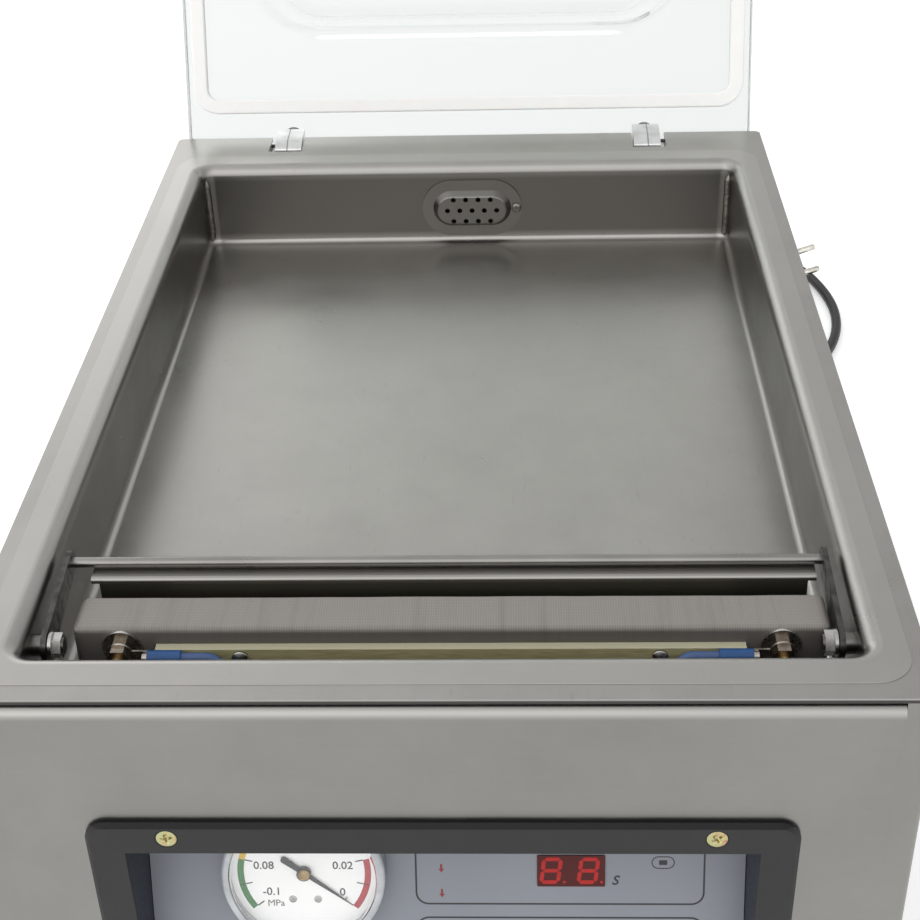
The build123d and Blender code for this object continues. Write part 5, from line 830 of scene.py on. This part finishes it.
# Needle: a tapered blade with a round tail, its hub and spindle
NEEDLE_LOW, NEEDLE_HIGH, HUB_TOP = 3.1, 3.9, 4.8
NEEDLE_TIP, NEEDLE_TAIL, TAIL_R = 21.0, -9.1, 1.2
HUB_R, SPINDLE_R, SPINDLE_H = 2.7, 0.9, 3.0
NEEDLE_REST = radians(-37.0)
outline = [(NEEDLE_TAIL + p, q) for p, q in arc(TAIL_R, 90, 270, 12)] + [(NEEDLE_TIP, 0.0)]
rest_cos, rest_sin = cos(NEEDLE_REST), sin(NEEDLE_REST)
blade = [(p * rest_cos - q * rest_sin, p * rest_sin + q * rest_cos) for p, q in outline]
needle = [prism(blade, NEEDLE_LOW, NEEDLE_HIGH), prism(circle(HUB_R, 36), NEEDLE_LOW, HUB_TOP),
          prism(circle(SPINDLE_R, 24), NEEDLE_LOW - SPINDLE_H, NEEDLE_LOW)]
needle = flat_piece("needle_blade", needle, "needle", "needle_black", GAUGE_AT, "gauge_needle")
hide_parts("gauge_needle")

# Needle's brass cap, a low turned button, and the rivet by the dial's zero, which the needle clears
CAP_PROFILE = [(0.0, 1.05), (0.7, 1.0), (1.0, 0.75), (1.7, 0.7), (2.2, 0.5), (2.45, 0.0)]
CAP_SPOKES = 24
RIVET_U, RIVET_V, RIVET_R, RIVET_H = 15.4, -10.7, 0.55, 0.25
cap_verts = [on_panel(GAUGE_U + u, GAUGE_V + v, HUB_TOP + height)
             for radius, height in CAP_PROFILE for u, v in circle(radius, CAP_SPOKES)]
cap_faces = ring_faces(len(CAP_PROFILE), CAP_SPOKES)
cap_faces.append(list(range(len(cap_verts) - CAP_SPOKES, len(cap_verts))))
piece("needle_cap", cap_verts, cap_faces, "brass", "gauge_needle", "terminal_brass")
rivet = prism(circle(RIVET_R, 24, RIVET_U, RIVET_V), DIAL, DIAL + RIVET_H)
flat_piece("zero_rivet", [rivet], "pin", "steel_hardware", GAUGE_AT)

# Overlay print: two frames, an oval stop key, plain oval keys below with a minus, a plus or a ring,
# and the seconds mark
UPPER_FRAME, LOWER_FRAME = (-11.6, 4.1, 96.0, 40.5), (-11.6, -44.0, 96.0, -1.0)
FRAME_R, FRAME_LINE = 5.0, 0.7
STOP_KEY, STOP_KEY_R, KEY_LINE = (76.1, 19.3, 84.7, 24.5), 2.6, 0.4
STOP_MARK, STOP_MARK_R = (78.9, 20.9, 81.9, 22.9), 0.25
KEY_ROWS, KEY_COLUMNS = (-12.5, -30.5), (6.0, 32.0, 58.0, 80.0)
KEY_HALF_W, KEY_HALF_H = 6.5, 4.0
SIGN_HALF, SIGN_LINE, RING_OUT, RING_IN = 1.8, 0.55, 1.7, 1.2
SECONDS_SIZE, SECONDS_WEIGHT, SECONDS_SLANT = 5.4, 0.12, 0.25
overlay = [drawn_frame(*UPPER_FRAME, FRAME_R, FRAME_LINE),
           drawn_frame(*LOWER_FRAME, FRAME_R, FRAME_LINE),
           drawn_frame(*STOP_KEY, STOP_KEY_R, KEY_LINE),
           prism(rounded(*STOP_MARK, STOP_MARK_R, 3), 0.0, PRINT)]
for v in KEY_ROWS:
    for column, u in enumerate(KEY_COLUMNS):
        overlay.append(drawn_frame(u - KEY_HALF_W, v - KEY_HALF_H, u + KEY_HALF_W, v + KEY_HALF_H,
                                   KEY_HALF_H, KEY_LINE))
        if column < 2:
            overlay.append(stroke((u - SIGN_HALF, v), (u + SIGN_HALF, v), SIGN_LINE, 0.0))
        else:
            overlay.append(band(circle(RING_OUT, 24, u, v), circle(RING_IN, 24, u, v), 0.0, PRINT))
        if column == 1:
            overlay.append(stroke((u, v - SIGN_HALF), (u, v + SIGN_HALF), SIGN_LINE, PRINT))
overlay.append(figures("S", SECONDS_SIZE, 62.7, 14.3, 0.0, SECONDS_WEIGHT, SECONDS_SLANT))
flat_piece("overlay_print", overlay, "line", "membrane_film")

# Indicator arrows: a shaft and a head that points down
ARROWS_AT = ((-1.8, 19.4), (-1.7, 8.9))
ARROW_NECK, ARROW_END, SHAFT_HALF_W, HEAD_HALF_W = -0.2, 1.8, 0.4, 1.05
arrows = []
for u, v in ARROWS_AT:
    shaft = [(u - SHAFT_HALF_W, v + ARROW_NECK), (u + SHAFT_HALF_W, v + ARROW_NECK),
             (u + SHAFT_HALF_W, v + ARROW_END), (u - SHAFT_HALF_W, v + ARROW_END)]
    point = [(u - HEAD_HALF_W, v + ARROW_NECK), (u, v - ARROW_END),
             (u + HEAD_HALF_W, v + ARROW_NECK)]
    arrows += [prism(shaft, 0, PRINT), prism(point, 0, PRINT)]
flat_piece("indicator_arrows", arrows, "arrow", "red_window")

# Two slanted seven-segment figures with their points, just over the display filter
WINDOW = 0.6
DIGITS_U, DIGIT_V = (39.0, 52.8), 18.8
DIGIT_HALF_H, DIGIT_HALF_W, DIGIT_SLANT = 9.5 / 2, 6.2 / 2, 0.12
SEGMENT_HALF, SEGMENT_GAP = 1.5 / 2, 0.15
POINT_U, POINT_R = 4.9, 0.55
bars = [((-DIGIT_HALF_W, v * DIGIT_HALF_H), (DIGIT_HALF_W, v * DIGIT_HALF_H)) for v in (-1, 0, 1)]
bars += [((side * DIGIT_HALF_W, v * DIGIT_HALF_H), (side * DIGIT_HALF_W, (v + 1) * DIGIT_HALF_H))
         for side in (-1, 1) for v in (-1, 0)]
segments = []
for u in DIGITS_U:
    for p, q in bars:
        way = (Vector(q) - Vector(p)).normalized()
        side = Vector((-way.y, way.x)) * SEGMENT_HALF
        near, far = Vector(p) + way * SEGMENT_GAP, Vector(q) - way * SEGMENT_GAP
        start, end = near + way * SEGMENT_HALF, far - way * SEGMENT_HALF
        points = [near, start - side, end - side, far, end + side, start + side]
        outline = [(u + c.x + DIGIT_SLANT * c.y, DIGIT_V + c.y) for c in points]
        segments.append(prism(outline, WINDOW, WINDOW + PRINT))
    dot = circle(POINT_R, 12, u + POINT_U, DIGIT_V - DIGIT_HALF_H)
    segments.append(prism(dot, WINDOW, WINDOW + PRINT))
flat_piece("display_segments", segments, "lit", "red_window")

# Front panel's rolled top edge, which stands proud of the deck and fades into the flat of the panel
ROLL_R, ROLL_Y, ROLL_Z, ROLL_FOOT = 3.2, -239.2, 264.0, 216.5
ROLL_STEPS, ROLL_SWELL = 13, 1.6
PANEL_HALF_W, PANEL_FACE = 153.6, -240.0
SUNK, SKIN = 0.8, 0.02                        # into the panel and out of its face
roll = [(PANEL_FACE + SUNK, ROLL_FOOT), (PANEL_FACE - SKIN, ROLL_FOOT)]
reach = PANEL_FACE - ROLL_Y + ROLL_R
for step in range(1, ROLL_STEPS):
    rise = step / ROLL_STEPS
    roll.append((PANEL_FACE - SKIN - reach * rise ** ROLL_SWELL,
                 ROLL_FOOT + (ROLL_Z - ROLL_FOOT) * rise))
for step in range(ROLL_STEPS):
    angle = radians(90 * step / (ROLL_STEPS - 1))
    roll.append((ROLL_Y - ROLL_R * cos(angle), ROLL_Z + ROLL_R * sin(angle)))
roll.append((PANEL_FACE + SUNK, ROLL_Z))
count = len(roll)
verts = [at(x, y, z) for x in (-PANEL_HALF_W, PANEL_HALF_W) for y, z in roll]
faces = ring_faces(2, count) + [list(range(count)), list(range(count, 2 * count))]
rolled = piece("front_rolled_edge", verts, faces, "front", "cabinet", "stainless_sheet")
rolled.data.set_sharp_from_angle(angle=radians(40))

# Seams beside the front panel, welded and ground flush below its rolled edge
SEAM_IN, SEAM_OUT = 153.55, 154.05
SEAM_FRONT, SEAM_BACK = -239.98, -238.8
SEAM_LOW, SEAM_HIGH = 27.0, 258.0
seams = []
for side in (-1, 1):
    outline = [(side * SEAM_IN, SEAM_FRONT), (side * SEAM_OUT, SEAM_FRONT),
               (side * SEAM_OUT, SEAM_BACK), (side * SEAM_IN, SEAM_BACK)]
    verts, faces = prism(outline[::side], SEAM_LOW, SEAM_HIGH)
    seams.append(([at(*v) for v in verts], faces))
piece("front_seam_welds", *joined(seams), "front", "cabinet", "stainless_sheet", smooth=False)

# Weld beads up the rear corners of the chamber: uneven ripples that fade out at the roll
BEAD_X, BEAD_Y, BEAD_R = 143.6, 195.6, 2.2
BEAD_FOOT, BEAD_H = 227.0, 37.5
BEAD_RINGS, BEAD_SPOKES = 64, 14
BEAD_WANDER, WANDER_RATE = 0.5, 0.13          # how far it strays, and how often up its height
BEAD_UNEVEN, UNEVEN_RATE = 0.16, 0.55
RIPPLE, RIPPLE_RATE = 0.08, 4.2
FADE_TOP, FADE_FOOT, FOOT_SHARE = 8, 4, 0.2   # rings over which it thins out
beads = []
for side in (-1, 1):
    verts = []
    for ring in range(BEAD_RINGS + 1):
        z = BEAD_FOOT + BEAD_H * ring / BEAD_RINGS
        fade = min(1.0, (BEAD_RINGS - ring) / FADE_TOP, ring / FADE_FOOT + FOOT_SHARE)
        wander = noise.noise(Vector((side * 7.0, 0.0, z * WANDER_RATE))) * BEAD_WANDER
        uneven = 1 + BEAD_UNEVEN * noise.noise(Vector((side * 3.0, 2.0, z * UNEVEN_RATE)))
        swell = BEAD_R * fade * uneven + RIPPLE * sin(z * RIPPLE_RATE)
        verts += [at(side * (BEAD_X + wander + p), BEAD_Y + q, z)
                  for p, q in circle(swell, BEAD_SPOKES)]
    faces = ring_faces(BEAD_RINGS + 1, BEAD_SPOKES)
    faces += [list(range(BEAD_SPOKES)), list(range(len(verts) - BEAD_SPOKES, len(verts)))]
    beads.append((verts, faces))
piece("chamber_weld_beads", *joined(beads), "weld", "cabinet", "stainless_sheet")

# Seal cloth: a thin sheet stretched over the bar, slack below the strips, its ends drooping
CLOTH_HALF_L, CLOTH_STEPS, CLOTH_T = 135.0, 150, 0.3
CLOTH_Y0, CLOTH_Y1, CLOTH_TOP, CLOTH_FOOT, CLOTH_BEND = -190.3, -171.7, 259.8, 244.0, 1.4
CLOTH_MIDDLE, CLOTH_SHOULDER = (CLOTH_Y0 + CLOTH_Y1) / 2, CLOTH_TOP - CLOTH_BEND
SKIRT_H, TOP_W = CLOTH_SHOULDER - CLOTH_FOOT, CLOTH_Y1 - CLOTH_Y0 - 2 * CLOTH_BEND
SKIRT_STEPS, TOP_STEPS = 10, 12
BAR_HALF_L = 134.0   # the cloth hangs free past the bar
GRIPPED = 253.6      # the strips hold it below this height
SIDE_PLAY, TOP_PLAY = 1.3, 259.0              # where a point counts as side or top
RUCK, RUCK_LIFT, HELD_SHARE = 0.1, 0.4, 0.25  # its unevenness, and what the strips leave of that
RUCK_ALONG, RUCK_ACROSS, RUCK_UP = 0.06, 0.12, 0.1
DROOP, PINCH, DROOP_H = 0.9, 0.09, 16         # how the free ends sink and draw in
bend = [(CLOTH_BEND * cos(radians(15 * i)), CLOTH_BEND * sin(radians(15 * i))) for i in range(7)]
girth = [(CLOTH_Y0, CLOTH_FOOT + SKIRT_H * i / SKIRT_STEPS) for i in range(SKIRT_STEPS)]
girth += [(CLOTH_Y0 + CLOTH_BEND - p, CLOTH_SHOULDER + q) for p, q in bend]
girth += [(CLOTH_Y0 + CLOTH_BEND + TOP_W * i / TOP_STEPS, CLOTH_TOP) for i in range(1, TOP_STEPS)]
girth += [(CLOTH_Y1 - CLOTH_BEND + q, CLOTH_SHOULDER + p) for p, q in bend]
girth += [(CLOTH_Y1, CLOTH_SHOULDER - SKIRT_H * i / SKIRT_STEPS) for i in range(1, SKIRT_STEPS + 1)]
verts = []
for step in range(CLOTH_STEPS + 1):
    along = CLOTH_HALF_L * (2 * step / CLOTH_STEPS - 1)
    over = max(0.0, abs(along) - BAR_HALF_L)
    for y, z in girth:
        slack = noise.noise(Vector((along * RUCK_ALONG, y * RUCK_ACROSS, z * RUCK_UP)))
        lift = RUCK * (1.0 if z > GRIPPED else HELD_SHARE) * (slack + RUCK_LIFT)
        front, rear = y < CLOTH_Y0 + SIDE_PLAY, y > CLOTH_Y1 - SIDE_PLAY
        out_y = lift * (-1 if front else (1 if rear else 0))
        out_z = lift if z > TOP_PLAY else 0.0
        drop = DROOP * over * over * max(0.0, (z - CLOTH_FOOT) / DROOP_H)
        verts.append(at(BAR_X + along, y + out_y + (CLOTH_MIDDLE - y) * PINCH * over * over,
                        z + out_z - drop))
faces = ring_faces(CLOTH_STEPS + 1, len(girth), closed=False)
sheet = piece("seal_cloth_sheet", verts, faces, "cloth", "seal_bar", "glass_cloth")
thick = sheet.modifiers.new("thickness", "SOLIDIFY")
thick.thickness = CLOTH_T / MM
thick.offset = 0.0
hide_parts("seal_cloth")


# Mains cord: out of the gland, down to the table, into the tied coil and on to its plug
CORD_R = 3.75
COIL_X, COIL_Y, COIL_R, COIL_PITCH = 40.0, 395.0, 47.0, 8.2
COIL_LOW, COIL_TOP = 5.6, 13.8
COIL_TURNS, TURN_POINTS = 4, 16
TABLE_GAP = 0.1
ON_TABLE = CORD_R + TABLE_GAP
PLUG_X, PLUG_Y, TURN, TILT = 251.0, 564.0, radians(10), radians(14)    # how the plug lies
PLUG_R, PLUG_FRONT_L, PLUG_EDGE_R = 20.0, 16.0, 1.5
PLUG_L, PLUG_STRAIGHT = 64.0, 15.0            # plug with its tail, and the straight cord behind it
PLUG_Z = (TABLE_GAP + PLUG_EDGE_R + (PLUG_R - PLUG_EDGE_R) * cos(TILT)
          + (PLUG_FRONT_L - PLUG_EDGE_R) * sin(TILT))
PLUG_DIR = Vector((cos(TURN) * cos(TILT), sin(TURN) * cos(TILT), sin(TILT)))
PLUG_TAIL = Vector((PLUG_X, PLUG_Y, PLUG_Z)) - PLUG_L * PLUG_DIR
PLUG_RUN = PLUG_TAIL - PLUG_STRAIGHT * PLUG_DIR
inlet = [
    (-110, 262, 60), (-110, 279.5, 60), (-107, 316, 43), (-92, 338, 20), (-58, 347, 8),
    (-12, 348, COIL_LOW), (22, 348, COIL_LOW),
]
coil = []    # two turns inwards on the table, then two outwards on top of them
for step in range(COIL_TURNS * TURN_POINTS + 1):
    quarter = 4 * step / TURN_POINTS
    inward = 8 - abs(quarter - 8)
    climb = min(max((quarter - 7) / 2, 0), 1)
    reach = (COIL_R - COIL_PITCH * inward / 4) / cos(pi / TURN_POINTS)
    angle = 2 * pi * step / TURN_POINTS - pi / 2
    rise = COIL_LOW + (COIL_TOP - COIL_LOW) * climb * climb * (3 - 2 * climb)
    coil.append((COIL_X + reach * cos(angle), COIL_Y + reach * sin(angle), rise))
outlet = [(62, 348, COIL_TOP), (85, 348, COIL_TOP), (122, 352, 8.5), (160, 363, 4.25)]
outlet += [(x, y, ON_TABLE) for x, y in (
    (198, 382), (232, 410), (257, 443), (273, 479), (279, 517), (275, 556), (263, 593), (240, 623),
    (207, 643), (170, 648), (130, 646), (100, 625.5), (90.4, 591.5), (105.2, 559.5), (137.5, 544),
)]
outlet += [tuple(PLUG_RUN), tuple(PLUG_TAIL)]
route = inlet + coil + outlet
line = bpy.data.curves.new("mains_lead", "CURVE")
line.dimensions = "3D"
spline = line.splines.new("NURBS")
spline.points.add(len(route) - 1)
for point, spot in zip(spline.points, route):
    point.co = (*at(*spot), 1.0)
spline.order_u = 3
spline.use_endpoint_u = True
spline.resolution_u = 8
line.bevel_depth = CORD_R / MM
line.bevel_resolution = 5
line.use_fill_caps = True
line.materials.append(skins["cord"])
lead = bpy.data.objects.new("mains_lead", line)
scene.collection.objects.link(lead)
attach(lead, "cabinet")
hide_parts("cord_inlet", "cord_coil", "mains_cord")

# Floor, white room and lamp
FLOOR_HALF, FLOOR_GLOW = 6, 0.35
ROOM_LEFT, ROOM_RIGHT, ROOM_FRONT = 1.12, 0.6, 0.6
LAMP_AT, LAMP_AIM, LAMP_SIZE, LAMP_POWER = (-0.9, 2.0, 1.05), (-0.1, -0.1, 0.27), (1.3, 0.7), 2.4
WHITE = (1, 1, 1, 1)


def stage_floor():
    """Matt white painted floor that stays white to the eye and in reflections, still takes the
    object's soft shadow, and shows a little greyer through the lid."""
    made, tree, mm = finish("matt_white_floor", "#f4f4f4", 0.6, IOR=1.45, Specular_IOR_Level=0.2)
    cloud = add(tree, "TexNoise", {"Vector": mm, "Scale": 1 / FLOOR_CLOUD, "Detail": 2.0})
    tone = add(tree, "Mix", {0: cloud, 6: "#f2f2f2", 7: "#f7f7f7"}, **BLEND)
    coat(made, tone)
    mirrored = add(tree, "Math", {0: add(tree, "LightPath", output="Is Glossy Ray"),
                                  1: add(tree, "LightPath", output="Is Transmission Ray")},
                   operation="SUBTRACT")
    seen = add(tree, "Math", {0: add(tree, "LightPath", output="Is Camera Ray"), 1: mirrored},
               operation="MAXIMUM")
    strength = add(tree, "Math", {0: seen, 1: FLOOR_GLOW}, operation="MULTIPLY")
    glow = add(tree, "Emission", {"Color": WHITE, "Strength": strength})
    mixed = add(tree, "AddShader", {0: tree.nodes["Principled BSDF"].outputs[0], 1: glow})
    tree.links.new(mixed, tree.nodes["Material Output"].inputs["Surface"])
    mesh = bpy.data.meshes.new("floor")
    corners = [(x * FLOOR_HALF, y * FLOOR_HALF, 0) for x, y in ((-1, -1), (1, -1), (1, 1), (-1, 1))]
    mesh.from_pydata(corners, [], [(0, 1, 2, 3)])
    mesh.materials.append(made)
    floor = bpy.data.objects.new("floor", mesh)
    scene.collection.objects.link(floor)


def backdrop():
    """White room, plain white to the eye: it lights most from the front, and behind the object more
    from the left than from the right."""
    world = bpy.data.worlds.new("studio")
    scene.world = world
    world.use_nodes = True
    tree = world.node_tree
    toward = add(tree, "TexCoord", output="Generated")
    across = add(tree, "SeparateXYZ", {0: toward}, output=0)
    side = add(tree, "MapRange", {"Value": across, "From Min": -0.6, "From Max": 0.6,
                                  "To Min": ROOM_LEFT, "To Max": ROOM_RIGHT},
               interpolation_type="SMOOTHSTEP")
    depth = add(tree, "SeparateXYZ", {0: toward}, output=1)
    front = add(tree, "MapRange", {"Value": depth, "From Min": -0.15, "From Max": -0.75,
                                   "To Max": ROOM_FRONT}, interpolation_type="SMOOTHSTEP")
    lit = add(tree, "Math", {0: side, 1: front}, operation="ADD")
    plain = add(tree, "Math", {0: add(tree, "LightPath", output="Is Camera Ray"),
                               1: add(tree, "LightPath", output="Is Transmission Ray")},
                operation="MAXIMUM")
    strength = add(tree, "Mix", {0: plain, 2: lit, 3: 1.0}, data_type="FLOAT")
    tree.links.new(strength, tree.nodes["Background"].inputs["Strength"])
    tree.nodes["Background"].inputs["Color"].default_value = WHITE


def softbox(name, spot, aim, size, power):
    """Large soft lamp."""
    lamp = bpy.data.lights.new(name, "AREA")
    lamp.shape = "RECTANGLE"
    lamp.size, lamp.size_y = size
    lamp.energy = power
    made = bpy.data.objects.new(name, lamp)
    made.location = spot
    made.rotation_euler = (Vector(aim) - Vector(spot)).to_track_quat("-Z", "Y").to_euler()
    scene.collection.objects.link(made)


stage_floor()
backdrop()
softbox("key_softbox", LAMP_AT, LAMP_AIM, LAMP_SIZE, LAMP_POWER)
